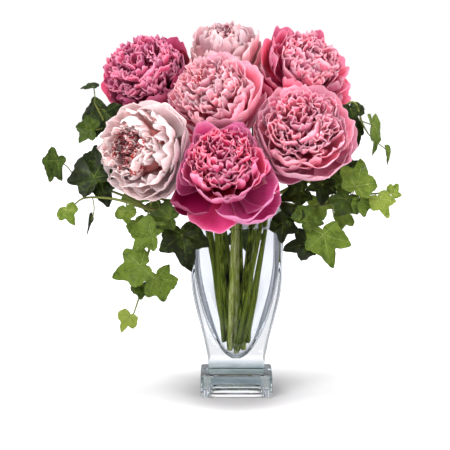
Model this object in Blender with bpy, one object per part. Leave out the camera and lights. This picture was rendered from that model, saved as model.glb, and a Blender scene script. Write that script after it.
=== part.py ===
"""Seven peonies and trailing ivy in a square-footed glass vase, as one Blender model.

Run it with  blender --background --python part.py  or from Blender's text editor.
All lengths here are millimetres, which make_object turns into Blender's metres.  +Z is up, the front is -Y,
and the origin is the middle of the foot's underside.
"""

import math
import random
from collections import namedtuple

import bpy
import numpy as np

MM = 0.001

# ---------------------------------------------------------------- vase and water
FOOT_HALF = 45.0
FOOT_HEIGHT = 27.0
FOOT_BEVEL = 1.6
NECK_HALF = 34.5  # where the body grows out of the foot
SHOULDER_Z = 160.0  # the flare ends here, and the walls go straight up
SHOULDER_HALF = 56.8
RIM_Z = 235.0
RIM_HALF = 57.5
BODY_CORNER = 5.0  # corner radius of the square body
WALL = 3.2  # wall thickness at the rim
CAVITY_FLOOR = 45.0
CAVITY_SHOULDER = 175.0
CAVITY_HALF = 53.5  # half the hollow's width at its shoulder
BOWL_TOP, BOWL_FOOT = 1.4, 0.53  # exponents: how the bowl eases into the walls, and how round its foot is
CAVITY_HEIGHTS = [46, 51, 60, 76, 98, 124, 150, CAVITY_SHOULDER]
WATER_LEVEL = 212.0
GAP = 0.3  # clearance between pieces that touch
WATER_GAP = 0.5  # the same, measured level where the walls slope
CORNER_STEPS = 3

# ---------------------------------------------------------------- stems in the vase
TWIST = math.radians(50)  # the bunch turns this much between the floor and the rim
STEM_RADIUS = 3.7
STEM_FOOT_Z, STEM_FOOT_RING, STEM_RIM_RING = 56.0, 10.4, 26.0
STEM_SIDES, VINE_SIDES = 7, 5
PATH_STEPS = 6  # stretches of a stem's curve from the rim to its bloom
VINE_RADIUS, VINE_TIP_RADIUS = 2.7, 0.9
VINE_FOOT_Z, VINE_FOOT_RING, VINE_RIM_RING = 66.0, 18.2, 41.0
CENTRE_FOOT_Z = 51.0

# ---------------------------------------------------------------- petals
PETAL_THICK = 0.8
CROWD_BAND = 12.0  # petals begin to give way this far from a neighbouring bloom
CROWD_GAP = 0.9  # and their middle surface stops this far from the border
GOLDEN = math.radians(137.508)
BASE_DEPTH = 0.70  # the receptacle's underside, in ball radii below the ball's middle
RECEPTACLE_RADIUS = 8.0

# Name, the ball's middle and radius, the guard petals' reach, the way it faces in degrees, the numbers of
# guard and inner petals, and the colour
Bloom = namedtuple("Bloom", "name middle ball reach azimuth elevation guards inner colour")
BLOOMS = [
    Bloom("peony_front_hot_pink", (-16, -85, 289), 52, 92, -94, 33, 7, 7, (0.80, 0.16, 0.38)),
    Bloom("peony_left_blush", (-110, -60, 310), 55, 68, -120, 6, 6, 6, (0.93, 0.72, 0.74)),
    Bloom("peony_right_mid_pink", (79, -55, 330), 55, 76, -94, 30, 6, 6, (0.87, 0.42, 0.57)),
    Bloom("peony_upper_right_rose", (84, 40, 400), 53, 74, -64, 42, 6, 7, (0.86, 0.33, 0.50)),
    Bloom("peony_middle_light_pink", (-27, -15, 371), 54, 74, -114, 36, 6, 6, (0.93, 0.62, 0.70)),
    Bloom("peony_top_pale_pink", (-12, 66, 415), 50, 62, -100, 62, 5, 7, (0.94, 0.68, 0.74)),
    Bloom("peony_upper_left_magenta", (-110, 35, 394), 55, 72, -112, 38, 6, 6, (0.70, 0.18, 0.42)),
]
VASE_SIDE = (0.0, 0.8, -0.6)  # the way from the front bloom to the vase
VASE_SIDE_REACH = 48.0  # the front bloom's petals stay this near its middle on that side

# ---------------------------------------------------------------- leaves
LEAF_THICK = 0.7
PETIOLE_RADIUS = 0.75
# Lobes and the notches between them: degrees from the tip, and length
IVY_CORNERS = [(0, 1.0), (29, 0.62), (60, 0.82), (90, 0.52), (122, 0.60), (165, 0.26)]
YOUNG_IVY_CORNERS = [(0, 1.0), (29, 0.62), (60, 0.80), (115, 0.54), (165, 0.26)]
YOUNG_SIZE = 32.0
BLADE_SHARE = 0.76  # the tip lobe's length, as a share of the blade's
LEAF_FOLD, LEAF_DROOP = 0.22, 0.14  # how far the blade's halves rise from its midrib, and its rim droops
LOBE_TURN, LOBE_STRETCH = 4.5, 0.10  # how far a leaf's lobes differ from these, in degrees and in share

# A leaf: blade middle x, y, z, blade length, tip direction as seen from the front (0 right, 90 up),
# and the way its upper face looks: turn from the front to the right, and nod upwards, all in degrees
Leaf = namedtuple("Leaf", "x y z size tip turn nod")
Vine = namedtuple("Vine", "name seat route leaves")
VINES = [
    Vine("ivy_upper_left", 158, [(-96, -2, 246), (-140, 0, 294), (-163, 4, 336), (-178, 2, 366)], [
        Leaf(-170, 4, 341, 52, -100, -20, 25), Leaf(-190, -10, 334, 33, 170, -15, 20),
        Leaf(-186, 0, 385, 26, 175, -10, 74), Leaf(-176, -8, 306, 24, 120, -30, 30)]),
    Vine("ivy_left", 182, [(-92, -20, 231), (-139, -20, 250), (-177, -16, 265), (-206, -14, 280)], [
        Leaf(-184, -28, 287, 60, 130, -20, 25), Leaf(-166, -32, 260, 48, -75, -10, 20),
        Leaf(-228, -18, 283, 44, -115, -45, 10), Leaf(-150, -8, 282, 30, 80, -40, 45)]),
    Vine("ivy_left_tip", 206, [(-95, -38, 234), (-148, -42, 248), (-186, -38, 250), (-203, -34, 240)], [
        Leaf(-207, -38, 228, 27, -60, -20, 15), Leaf(-182, -36, 216, 26, -115, -75, 20),
        Leaf(-136, -44, 228, 26, -80, -10, 15)]),
    Vine("ivy_lower_left", 230, [(-62, -62, 242), (-98, -70, 208), (-112, -62, 172), (-119, -58, 134),
                                 (-127, -54, 108)], [
        Leaf(-92, -74, 230, 38, 170, -10, 30), Leaf(-64, -82, 192, 58, -82, 10, 20),
        Leaf(-116, -78, 210, 46, 168, -15, 25), Leaf(-131, -72, 164, 50, 200, -15, 20),
        Leaf(-93, -68, 141, 44, -72, 15, 10), Leaf(-117, -66, 136, 26, -95, -10, 20),
        Leaf(-137, -56, 97, 27, -120, -15, 15)]),
    Vine("ivy_upper_right", 14, [(81, 14, 268), (122, 14, 318), (137, 12, 360), (150, 10, 364),
                                 (158, 6, 340), (166, 4, 326)], [
        Leaf(146, 4, 350, 30, -80, 25, 20), Leaf(148, -2, 326, 36, -85, 50, 10),
        Leaf(172, 2, 322, 52, -92, 72, 10), Leaf(189, 2, 300, 26, -95, 75, 10)]),
    Vine("ivy_right", -10, [(92, -16, 236), (136, -16, 247), (164, -14, 252), (188, -12, 254)], [
        Leaf(152, -24, 276, 50, 65, 20, 25), Leaf(131, -30, 238, 38, -120, 10, 20),
        Leaf(157, -26, 236, 30, -75, 20, 15), Leaf(182, -26, 238, 34, -70, 15, 25),
        Leaf(198, -12, 258, 20, 45, 20, 20), Leaf(106, -30, 256, 36, -100, 10, 35),
        Leaf(138, -8, 292, 34, 80, 30, 20), Leaf(70, -34, 254, 38, 200, 0, 25)]),
    Vine("ivy_lower_right", -34, [(60, -56, 243), (90, -62, 218), (106, -60, 192)], [
        Leaf(62, -70, 236, 36, 120, 5, 35), Leaf(89, -70, 232, 38, 45, 15, 30),
        Leaf(56, -72, 212, 34, -95, 5, 20), Leaf(76, -70, 194, 40, 190, -5, 20),
        Leaf(110, -72, 192, 54, -80, 10, 15)]),
    Vine("ivy_back_left", 118, [(-52, 78, 262), (-90, 104, 258), (-112, 112, 228), (-118, 116, 200)], [
        Leaf(-52, 92, 282, 44, 80, 175, 35), Leaf(-86, 120, 268, 46, 60, 190, 25),
        Leaf(-124, 122, 240, 42, -20, 200, 15), Leaf(-104, 124, 214, 36, -110, 180, 10),
        Leaf(-128, 118, 196, 28, -60, 200, 10)]),
    Vine("ivy_back_right", 62, [(52, 78, 262), (92, 104, 262), (122, 110, 236), (130, 112, 208)], [
        Leaf(48, 92, 280, 44, 100, 185, 35), Leaf(88, 120, 272, 48, 110, 175, 25),
        Leaf(132, 120, 252, 42, 200, 160, 15), Leaf(112, 122, 220, 36, -80, 175, 10),
        Leaf(140, 114, 204, 28, -110, 160, 10)]),
    Vine("ivy_back", 90, [(4, 80, 256), (2, 98, 240), (-2, 102, 212), (2, 100, 184)], [
        Leaf(20, 110, 234, 42, -40, 180, 20), Leaf(-20, 112, 214, 46, -130, 185, 15),
        Leaf(12, 108, 184, 44, -80, 180, 10)]),
]

# A stem's own leaves: share of the way from the rim to the bloom, azimuth, elevation, length
STEM_LEAVES = {
    "peony_front_hot_pink": [(0.30, -20, 10, 50)],
    "peony_left_blush": [(0.40, 150, 20, 66)],
    "peony_right_mid_pink": [(0.40, 40, 15, 66), (0.34, 110, 68, 90)],
    "peony_upper_right_rose": [(0.30, 60, 20, 80), (0.55, 15, 5, 60)],
    "peony_middle_light_pink": [(0.50, 20, 30, 60)],
    "peony_top_pale_pink": [(0.30, 95, 25, 84), (0.55, 150, 15, 60)],
    "peony_upper_left_magenta": [(0.30, 125, 20, 80), (0.55, 190, 10, 56)],
}
STEM_LEAF_WIDTH = 0.34  # of its length

GLASS_COLOUR = (0.90, 0.94, 0.95)
WATER_COLOUR = (0.88, 0.94, 0.94)
STEM_COLOUR = (0.20, 0.33, 0.09)
IVY_COLOUR = (0.13, 0.27, 0.05)


# ================================================================ objects and materials
def clear_scene():
    for obj in list(bpy.data.objects):
        bpy.data.objects.remove(obj)


def material(name, colour, roughness=0.5, transmission=0.0):
    mat = bpy.data.materials.new(name)
    mat.use_nodes = True
    shader = mat.node_tree.nodes["Principled BSDF"]
    shader.inputs["Base Color"].default_value = (*colour, 1.0)
    shader.inputs["Roughness"].default_value = roughness
    shader.inputs["Transmission Weight"].default_value = transmission
    return mat


def make_object(name, points, faces, mat, collection=None):
    """An object from points in millimetres."""
    mesh = bpy.data.meshes.new(name)
    mesh.from_pydata((np.asarray(points, float) * MM).tolist(), [], faces)
    mesh.materials.append(mat)
    mesh.shade_smooth()
    mesh.set_sharp_from_angle(angle=math.radians(40))
    obj = bpy.data.objects.new(name, mesh)
    (collection or bpy.context.scene.collection).objects.link(obj)
    return obj


def combine(body, shapes, operation, mat):
    """Joins shapes, (points, faces) pairs, to body in one Boolean, or cuts them out of it."""
    group = bpy.data.collections.new("shapes")
    bpy.context.scene.collection.children.link(group)
    for k, (points, faces) in enumerate(shapes):
        make_object(f"shape_{k}", points, faces, mat, group)
    boolean = body.modifiers.new("shapes", "BOOLEAN")
    boolean.operation = operation
    boolean.operand_type = "COLLECTION"
    boolean.collection = group
    boolean.solver = "EXACT"
    graph = bpy.context.evaluated_depsgraph_get()
    mesh = bpy.data.meshes.new_from_object(body.evaluated_get(graph))
    body.modifiers.clear()
    body.data = mesh
    for obj in list(group.objects):
        bpy.data.objects.remove(obj)
    bpy.data.collections.remove(group)


# ================================================================ vectors
def unit(v):
    v = np.asarray(v, float)
    return v / np.linalg.norm(v)


def direction(azimuth, elevation):
    """The unit vector that points this many degrees round from +X and up."""
    a, e = math.radians(azimuth), math.radians(elevation)
    return np.array([math.cos(a) * math.cos(e), math.sin(a) * math.cos(e), math.sin(e)])


def frame_of(axis):
    """Three unit vectors as rows, the third along axis, the first level."""
    side = unit(np.cross((0, 0, 1), axis)) if abs(axis[2]) < 0.99 else np.array([1.0, 0, 0])
    return np.array([side, np.cross(axis, side), axis])


def smooth_step(t):
    t = np.clip(t, 0, 1)
    return t * t * (3 - 2 * t)


# ================================================================ lofted shapes
def square_ring(half, corner, z):
    """A square with rounded corners, counter-clockwise from above."""
    points = []
    for quarter in range(4):
        for step in range(CORNER_STEPS + 1):
            turn = (quarter + step / CORNER_STEPS) * math.pi / 2
            mid = (quarter + 0.5) * math.pi / 2
            inset = (half - corner) * math.sqrt(2)
            points.append((
                inset * math.cos(mid) + corner * math.cos(turn),
                inset * math.sin(mid) + corner * math.sin(turn), z))
    return points


def loft(rings):
    """A closed skin through rings of equal length, capped at both ends; points and faces."""
    count = len(rings[0])
    points = [p for ring in rings for p in ring]
    faces = [tuple(reversed(range(count)))]
    for r in range(len(rings) - 1):
        for i in range(count):
            j = (i + 1) % count
            a, b = r * count, (r + 1) * count
            faces.append((a + i, a + j, b + j, b + i))
    faces.append(tuple(range((len(rings) - 1) * count, len(rings) * count)))
    return points, faces


def tube(path, radii, sides):
    """A closed tube along path, whose cross-sections turn with it."""
    path = np.asarray(path, float)
    along = [unit(path[min(i + 1, len(path) - 1)] - path[max(i - 1, 0)]) for i in range(len(path))]
    side = frame_of(along[0])[0]
    rings = []
    for point, forward, radius in zip(path, along, radii):
        side = unit(side - forward * np.dot(side, forward))
        up = np.cross(forward, side)
        turns = [2 * math.pi * k / sides for k in range(sides)]
        rings.append([point + radius * (math.cos(t) * side + math.sin(t) * up) for t in turns])
    return loft(rings)


def bezier(a, b, c, d, steps):
    a, b, c, d = (np.asarray(p, float) for p in (a, b, c, d))
    ts = [k / steps for k in range(steps + 1)]
    return [(1 - t) ** 3 * a + 3 * t * (1 - t) ** 2 * b + 3 * t * t * (1 - t) * c + t ** 3 * d for t in ts]


def smooth_path(points, steps):
    """A smooth curve through points, with this many steps between each two."""
    p = [np.asarray(q, float) for q in points]
    p = [2 * p[0] - p[1], *p, 2 * p[-1] - p[-2]]
    path = []
    for i in range(1, len(p) - 2):
        for k in range(steps):
            t = k / steps
            path.append(0.5 * (2 * p[i] + (p[i + 1] - p[i - 1]) * t
                               + (2 * p[i - 1] - 5 * p[i] + 4 * p[i + 1] - p[i + 2]) * t * t
                               + (3 * p[i] - p[i - 1] - 3 * p[i + 1] + p[i + 2]) * t ** 3))
    return path + [p[-2]]


# ================================================================ vase and water
def body_half(z):
    """Half the outer width of the body at height z."""
    flare = smooth_step((z - FOOT_HEIGHT) / (SHOULDER_Z - FOOT_HEIGHT))
    lift = max(0.0, (z - SHOULDER_Z) / (RIM_Z - SHOULDER_Z))
    return NECK_HALF + (SHOULDER_HALF - NECK_HALF) * flare + (RIM_HALF - SHOULDER_HALF) * lift


def cavity_half(z):
    """Half the width of the hollow at height z: a bowl that eases into nearly upright walls."""
    share = min(1.0, max(0.0, (z - CAVITY_FLOOR) / (CAVITY_SHOULDER - CAVITY_FLOOR)))
    lift = max(0.0, (z - CAVITY_SHOULDER) / (RIM_Z - CAVITY_SHOULDER))
    bowl = (1 - (1 - share) ** BOWL_TOP) ** BOWL_FOOT
    return CAVITY_HALF * bowl + (RIM_HALF - WALL - CAVITY_HALF) * lift


def cavity_ring(z, clearance=0.0):
    """The hollow is round at its foot and turns square towards the rim."""
    half = cavity_half(z) - clearance
    round_share = 0.92 - 0.62 * smooth_step((z - CAVITY_FLOOR) / (SHOULDER_Z - CAVITY_FLOOR))
    return square_ring(half, round_share * half, z)


def make_vase(mat):
    body_heights = [30, 52, 76, 102, 130, SHOULDER_Z, RIM_Z - 1.2]
    rings = [
        square_ring(FOOT_HALF - FOOT_BEVEL, BODY_CORNER, 0),
        square_ring(FOOT_HALF, BODY_CORNER + FOOT_BEVEL, FOOT_BEVEL),
        square_ring(FOOT_HALF, BODY_CORNER + FOOT_BEVEL, FOOT_HEIGHT - FOOT_BEVEL),
        square_ring(FOOT_HALF - FOOT_BEVEL, BODY_CORNER, FOOT_HEIGHT),
        *(square_ring(body_half(z), BODY_CORNER, z) for z in body_heights),
        square_ring(RIM_HALF - 1.0, BODY_CORNER, RIM_Z),
        square_ring(RIM_HALF - WALL + 0.6, BODY_CORNER + 4, RIM_Z),
        *(cavity_ring(z) for z in [RIM_Z - 1.0, *reversed(CAVITY_HEIGHTS)]),
    ]
    return make_object("glass_vase", *loft(rings), mat)


def make_water(holes, mat):
    """The water follows the hollow with a small clearance, and each stem stands in its own plain hole."""
    rings = [np.add(cavity_ring(CAVITY_HEIGHTS[0], WATER_GAP), (0, 0, WATER_GAP))]
    rings += [cavity_ring(z, WATER_GAP) for z in [*CAVITY_HEIGHTS[1:], WATER_LEVEL]]
    water = make_object("water", *loft(rings), mat)
    combine(water, holes, "DIFFERENCE", mat)


def in_vase(seat, foot_ring, foot_z, rim_ring):
    """The straight run of one stem, from its foot to the rim.  All lean the same way round, as in a
    hand-tied bunch, so that none crosses another."""
    turn = math.radians(seat)
    foot = (foot_ring * math.cos(turn - TWIST), foot_ring * math.sin(turn - TWIST), foot_z)
    rim = (rim_ring * math.cos(turn), rim_ring * math.sin(turn), RIM_Z)
    return np.array(foot), np.array(rim)


def water_hole(foot, rim, radius, sides):
    """What one stem takes out of the water: the stem with its clearance, flat to flat."""
    along = unit(rim - foot)
    return tube([foot - along * GAP, rim], [radius + GAP / math.cos(math.pi / sides)] * 2, sides)


# ================================================================ petals
Petal = namedtuple("Petal", "turn root belly tip width cup roll ruffle waves phase round start")


def petal_surface(petal, u, v):
    """Points of a petal's middle surface in its bloom's own frame.  u runs from the root to the tip, and v
    from -1 to 1 across."""
    reach = u * (1 - petal.round * v ** 2)
    (r0, z0), (r1, z1), (r2, z2) = petal.root, petal.belly, petal.tip
    out = (1 - reach) ** 2 * r0 + 2 * reach * (1 - reach) * r1 + reach ** 2 * r2
    up = (1 - reach) ** 2 * z0 + 2 * reach * (1 - reach) * z1 + reach ** 2 * z2
    d_out = (1 - reach) * (r1 - r0) + reach * (r2 - r1)
    d_up = (1 - reach) * (z1 - z0) + reach * (z2 - z1)
    length = np.hypot(d_out, d_up)
    in_out, in_up = -d_up / length, d_out / length
    half = petal.width / 2 * (0.28 + 0.72 * smooth_step(reach / 0.75))
    side = half / petal.cup * np.sin(v * petal.cup)
    lift = half / petal.cup * (1 - np.cos(v * petal.cup))
    lift = lift + petal.ruffle * reach ** 2 * np.sin(petal.waves * math.pi * v + petal.phase)
    side, lift = (side * math.cos(petal.roll) - lift * math.sin(petal.roll),
                  side * math.sin(petal.roll) + lift * math.cos(petal.roll))
    out, up = out + in_out * lift, up + in_up * lift
    return np.stack([out * math.cos(petal.turn) - side * math.sin(petal.turn),
                     out * math.sin(petal.turn) + side * math.cos(petal.turn), up], axis=-1)


def petals_of(bloom):
    """The bloom's guard petals, then the ruffled ones of its ball, each in a golden-angle whorl."""
    ball, reach = bloom.ball, bloom.reach
    draw = random.Random(bloom.name)
    petals = []
    for k in range(bloom.guards):
        lean = math.radians(draw.uniform(80, 104))
        size = reach * draw.uniform(0.92, 1.0)
        petals.append(Petal(
            turn=k * 2 * math.pi / bloom.guards + draw.uniform(-0.15, 0.15),
            root=(5.0, -0.62 * ball), belly=(0.80 * size, -0.78 * ball - 4),
            tip=(size * math.sin(lean), size * math.cos(lean)),
            width=draw.uniform(1.42, 1.62) * ball, cup=draw.uniform(0.7, 0.95),
            roll=draw.uniform(-0.12, 0.12), ruffle=draw.uniform(1.0, 2.2), waves=1.5,
            phase=draw.uniform(0, 6.28), round=0.30, start=0.0))
    for k in range(bloom.inner):
        share = (k + 0.5) / bloom.inner
        lean = math.acos(1 - 1.15 * (1 - share))
        lean += draw.uniform(-0.08, 0.08)
        size = ball * draw.uniform(0.92, 1.04)
        belly = lean + draw.uniform(0.30, 0.55)
        petals.append(Petal(
            turn=k * GOLDEN + draw.uniform(-0.2, 0.2),
            root=(0.18 * ball * math.sin(lean), -0.30 * ball), belly=(
                0.88 * ball * math.sin(belly), 0.80 * ball * math.cos(belly)),
            tip=(size * math.sin(lean), size * math.cos(lean)),
            width=draw.uniform(0.75, 0.95) * ball, cup=draw.uniform(0.8, 1.1),
            roll=draw.uniform(-0.35, 0.35), ruffle=draw.uniform(1.5, 3.0), waves=2.0,
            phase=draw.uniform(0, 6.28), round=0.22, start=0.05))
    return petals


def borders_of(bloom):
    """The planes that a bloom's petals keep inside of, each as a normal and its distance."""
    here = np.array(bloom.middle, float)
    borders = []
    for other in BLOOMS:
        if other is bloom:
            continue
        away = np.array(other.middle, float) - here
        distance = np.linalg.norm(away)
        share = (distance ** 2 + bloom.ball ** 2 - other.ball ** 2) / (2 * distance ** 2)
        borders.append((away / distance, distance * share - CROWD_GAP))
    if bloom is BLOOMS[0]:
        borders.append((np.array(VASE_SIDE), VASE_SIDE_REACH))
    return borders


def crowded(points, bloom):
    """Petals near a neighbouring bloom give way smoothly, and never reach the border between the two."""
    here = np.array(bloom.middle, float)
    for normal, limit in borders_of(bloom):
        past = (points - here) @ normal - (limit - CROWD_BAND)
        give = np.where(past > 0, past - CROWD_BAND * (1 - np.exp(-np.maximum(past, 0) / CROWD_BAND)), 0.0)
        points = points - give[..., None] * normal
    return points


def placed(local, bloom):
    """Points of the bloom's own frame, in the object's frame."""
    return local @ frame_of(direction(bloom.azimuth, bloom.elevation)) + np.array(bloom.middle, float)


def blade(grid, thickness):
    """A closed thin blade from a grid of middle points, split into triangles alike on both faces."""
    rows, columns = grid.shape[:2]
    along = np.gradient(grid, axis=0)
    across = np.gradient(grid, axis=1)
    normal = np.cross(along, across)
    normal /= np.linalg.norm(normal, axis=-1, keepdims=True)
    top = (grid + normal * thickness / 2).reshape(-1, 3)
    low = (grid - normal * thickness / 2).reshape(-1, 3)
    count = rows * columns
    faces = []
    for r in range(rows - 1):
        for c in range(columns - 1):
            a, b = r * columns + c, r * columns + c + 1
            d, e = a + columns, b + columns
            for i, j, k in ((a, e, b), (a, d, e)) if (r + c) % 2 else ((a, d, b), (b, d, e)):
                faces += [(i, j, k), (i + count, k + count, j + count)]
    rim = [c for c in range(columns)]
    rim += [r * columns + columns - 1 for r in range(1, rows)]
    rim += [(rows - 1) * columns + c for c in range(columns - 2, -1, -1)]
    rim += [r * columns for r in range(rows - 2, 0, -1)]
    for i, j in zip(rim, rim[1:] + rim[:1]):
        faces += [(i, j, j + count), (i, j + count, i + count)]
    return np.concatenate([top, low]), faces


def petal_blade(petal, bloom, rows, columns):
    along = np.linspace(petal.start, 1, rows + 1)
    u, v = np.meshgrid(along, np.linspace(-1, 1, columns + 1), indexing="ij")
    return blade(crowded(placed(petal_surface(petal, u, v), bloom), bloom), PETAL_THICK)


def make_bloom(bloom, mat):
    """A turned core, which is the receptacle and the closed heart, with the petals standing out of it."""
    ball = bloom.ball
    profile = [(0.44, -0.55), (0.68, -0.20), (0.72, 0.15), (0.55, 0.50), (0.22, 0.70)]
    profile = [(RECEPTACLE_RADIUS, -BASE_DEPTH * ball), *((r * ball, z * ball) for r, z in profile)]
    turns = [2 * math.pi * k / 8 for k in range(8)]
    rings = [[(r * math.cos(t), r * math.sin(t), z) for t in turns] for r, z in profile]
    points, faces = loft(rings)
    core = make_object(bloom.name, crowded(placed(np.array(points), bloom), bloom), faces, mat)
    petals = petals_of(bloom)
    shapes = [petal_blade(p, bloom, 3, 2) for p in petals[:bloom.guards]]
    shapes += [petal_blade(p, bloom, 2, 3) for p in petals[bloom.guards:]]
    combine(core, shapes, "UNION", mat)
    return core


# ================================================================ stems
def stem_seats():
    """Each bloom's place round the mouth of the vase: the middle one goes straight down, and the
    others share the ring in the order in which they stand round the bunch."""
    middle = next(b for b in BLOOMS if b.name == "peony_middle_light_pink")
    ring = sorted((b for b in BLOOMS if b is not middle),
                  key=lambda b: math.atan2(b.middle[1], b.middle[0]))
    first = -155.0
    return {middle.name: None, **{b.name: first + 60.0 * k for k, b in enumerate(ring)}}


def stem_run(bloom, seat):
    """Foot, rim point and the path from the rim to just under the bloom's receptacle."""
    if seat is None:
        foot, rim = np.array([0.0, 0.0, CENTRE_FOOT_Z]), np.array([0.0, 0.0, RIM_Z])
    else:
        foot, rim = in_vase(seat, STEM_FOOT_RING, STEM_FOOT_Z, STEM_RIM_RING)
    facing = direction(bloom.azimuth, bloom.elevation)
    top = np.array(bloom.middle, float) - facing * (BASE_DEPTH * bloom.ball + GAP)
    span = np.linalg.norm(top - rim)
    path = bezier(rim, rim + unit(rim - foot) * span * 0.50, top - facing * span * 0.26, top, PATH_STEPS)
    return foot, rim, path


def stem_leaf(root, azimuth, elevation, length):
    """A pointed blade that arches away from the stem, folded a little along its midrib."""
    across, rise, forward = frame_of(direction(azimuth, elevation))
    u, v = np.meshgrid(np.linspace(0, 1, 5), np.linspace(-1, 1, 3), indexing="ij")
    half = length * STEM_LEAF_WIDTH / 2 * (0.10 + 0.90 * np.sin(math.pi * np.minimum(u, 0.97) ** 0.8))
    lift = length * (0.10 * u - 0.34 * u ** 2) + 0.18 * half * np.abs(v)
    grid = (root + (u * length)[..., None] * forward + (half * v)[..., None] * across
            + lift[..., None] * rise)
    return blade(grid, LEAF_THICK + 0.1)


def make_stem(bloom, seat, mat):
    """A green stem whose top swells into the calyx, flat under the receptacle, with its own leaves."""
    foot, rim, path = stem_run(bloom, seat)
    facing = direction(bloom.azimuth, bloom.elevation)
    swell = [path[-1] - facing * 9.0, path[-1] - facing * 3.5, path[-1]]
    path = [foot, *path[:-1], *swell]
    radii = [STEM_RADIUS] * (len(path) - 3)
    radii += [STEM_RADIUS + 0.4, RECEPTACLE_RADIUS - 1.4, RECEPTACLE_RADIUS]
    stem = make_object(bloom.name.replace("peony", "stem"), *tube(path, radii, STEM_SIDES), mat)
    leaves = []
    for share, azimuth, elevation, length in STEM_LEAVES[bloom.name]:
        root = path[1 + round(share * PATH_STEPS)]
        leaves.append(stem_leaf(root, azimuth, elevation, length))
    combine(stem, leaves, "UNION", mat)
    return water_hole(foot, rim, STEM_RADIUS, STEM_SIDES)


# ================================================================ ivy
def ivy_corners(leaf):
    """Lobes and notches all round the point where the stalk joins, as degrees from the tip and length for a
    blade of length 1: five lobes, or three on a young leaf, and no two leaves quite alike."""
    half = YOUNG_IVY_CORNERS if leaf.size < YOUNG_SIZE else IVY_CORNERS
    corners = [(-a, r) for a, r in reversed(half[1:])] + half
    own = leaf.x + 2 * leaf.y + 3 * leaf.z
    return [(a + LOBE_TURN * math.sin(own + 1.7 * k), r * (1 + LOBE_STRETCH * math.sin(own + 2.3 * k)))
            for k, (a, r) in enumerate(corners)]


def leaf_frame(leaf):
    """Unit vectors across the blade, towards its tip, and out of its upper face."""
    normal = direction(leaf.turn - 90, leaf.nod)
    level, rise, _ = frame_of(normal)
    if abs(leaf.turn) > 90:
        level, rise = -level, rise
    tip = math.radians(leaf.tip)
    toward = math.cos(tip) * level + math.sin(tip) * rise
    return np.cross(toward, normal), toward, normal


def leaf_points(leaf):
    """The blade's middle surface: the stalk point first, then the outline, arched and folded a little."""
    across, toward, normal = leaf_frame(leaf)
    outline = [(r * math.sin(math.radians(a)), r * math.cos(math.radians(a))) for a, r in ivy_corners(leaf)]
    outline = np.array([(0.0, 0.0), *outline]) * leaf.size * BLADE_SHARE
    base = np.array([leaf.x, leaf.y, leaf.z]) - toward * 0.30 * leaf.size
    x, y = outline[:, 0], outline[:, 1]
    rise = LEAF_FOLD * np.abs(x) - LEAF_DROOP * (x ** 2 + y ** 2) / leaf.size
    return base + x[:, None] * across + y[:, None] * toward + rise[:, None] * normal, normal


def leaf_blade(leaf):
    """The closed blade, split into triangles alike on both faces."""
    middle, normal = leaf_points(leaf)
    count = len(middle)
    points = np.concatenate([middle + normal * LEAF_THICK / 2, middle - normal * LEAF_THICK / 2])
    faces = []
    for i in range(1, count):
        j = i % (count - 1) + 1
        faces += [(0, j, i), (count, count + i, count + j)]
        faces += [(i, j, j + count), (i, j + count, i + count)]
    return points, faces


def petiole(leaf, path):
    """The leaf stalk, from the nearest point of the vine to a little way into the blade."""
    middle, normal = leaf_points(leaf)
    _, toward, _ = leaf_frame(leaf)
    end = middle[0] + toward * 0.05 * leaf.size
    path = np.asarray(path)
    start = path[np.argmin(np.linalg.norm(path - (middle[0] - toward * 0.2 * leaf.size), axis=1))]
    bend = (start + middle[0]) / 2 - normal * 2.0 - toward * 1.0
    return tube([start, bend, end], [PETIOLE_RADIUS] * 3, 3)


def vine_run(vine):
    foot, rim = in_vase(vine.seat, VINE_FOOT_RING, VINE_FOOT_Z, VINE_RIM_RING)
    above = rim + unit(rim - foot) * 9.0
    return foot, rim, smooth_path([rim, above, *vine.route], 2)


def make_vine(vine, mat):
    foot, rim, path = vine_run(vine)
    radii = [VINE_RADIUS, *np.linspace(VINE_RADIUS, VINE_TIP_RADIUS, len(path))]
    stem = make_object(vine.name, *tube([foot, *path], radii, VINE_SIDES), mat)
    shapes = [leaf_blade(leaf) for leaf in vine.leaves] + [petiole(leaf, path) for leaf in vine.leaves]
    combine(stem, shapes, "UNION", mat)
    return water_hole(foot, rim, VINE_RADIUS, VINE_SIDES)


# ================================================================ the whole
def main():
    clear_scene()
    green = material("stem_green", STEM_COLOUR, 0.45)
    ivy = material("ivy_green", IVY_COLOUR, 0.35)
    make_vase(material("clear_glass", GLASS_COLOUR, 0.02, 1.0))
    seats = stem_seats()
    holes = []
    for bloom in BLOOMS:
        make_bloom(bloom, material(bloom.name, bloom.colour, 0.6))
        holes.append(make_stem(bloom, seats[bloom.name], green))
    for vine in VINES:
        holes.append(make_vine(vine, ivy))
    make_water(holes, material("water", WATER_COLOUR, 0.0, 1.0))


main()
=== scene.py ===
"""The looks of seven peonies and trailing ivy in a square-footed glass vase.

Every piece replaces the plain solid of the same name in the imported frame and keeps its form: it is made again
from the same rules, with more points, and coloured by nodes.  Lengths are millimetres, which make_object
turns into metres; nodes, lights and floor are in metres.  +Z is up, the front is -Y, and the origin is the
middle of the foot's underside.
"""

import random
from collections import namedtuple
from math import acos, atan2, cos, degrees, pi, radians, sin, sqrt

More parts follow.
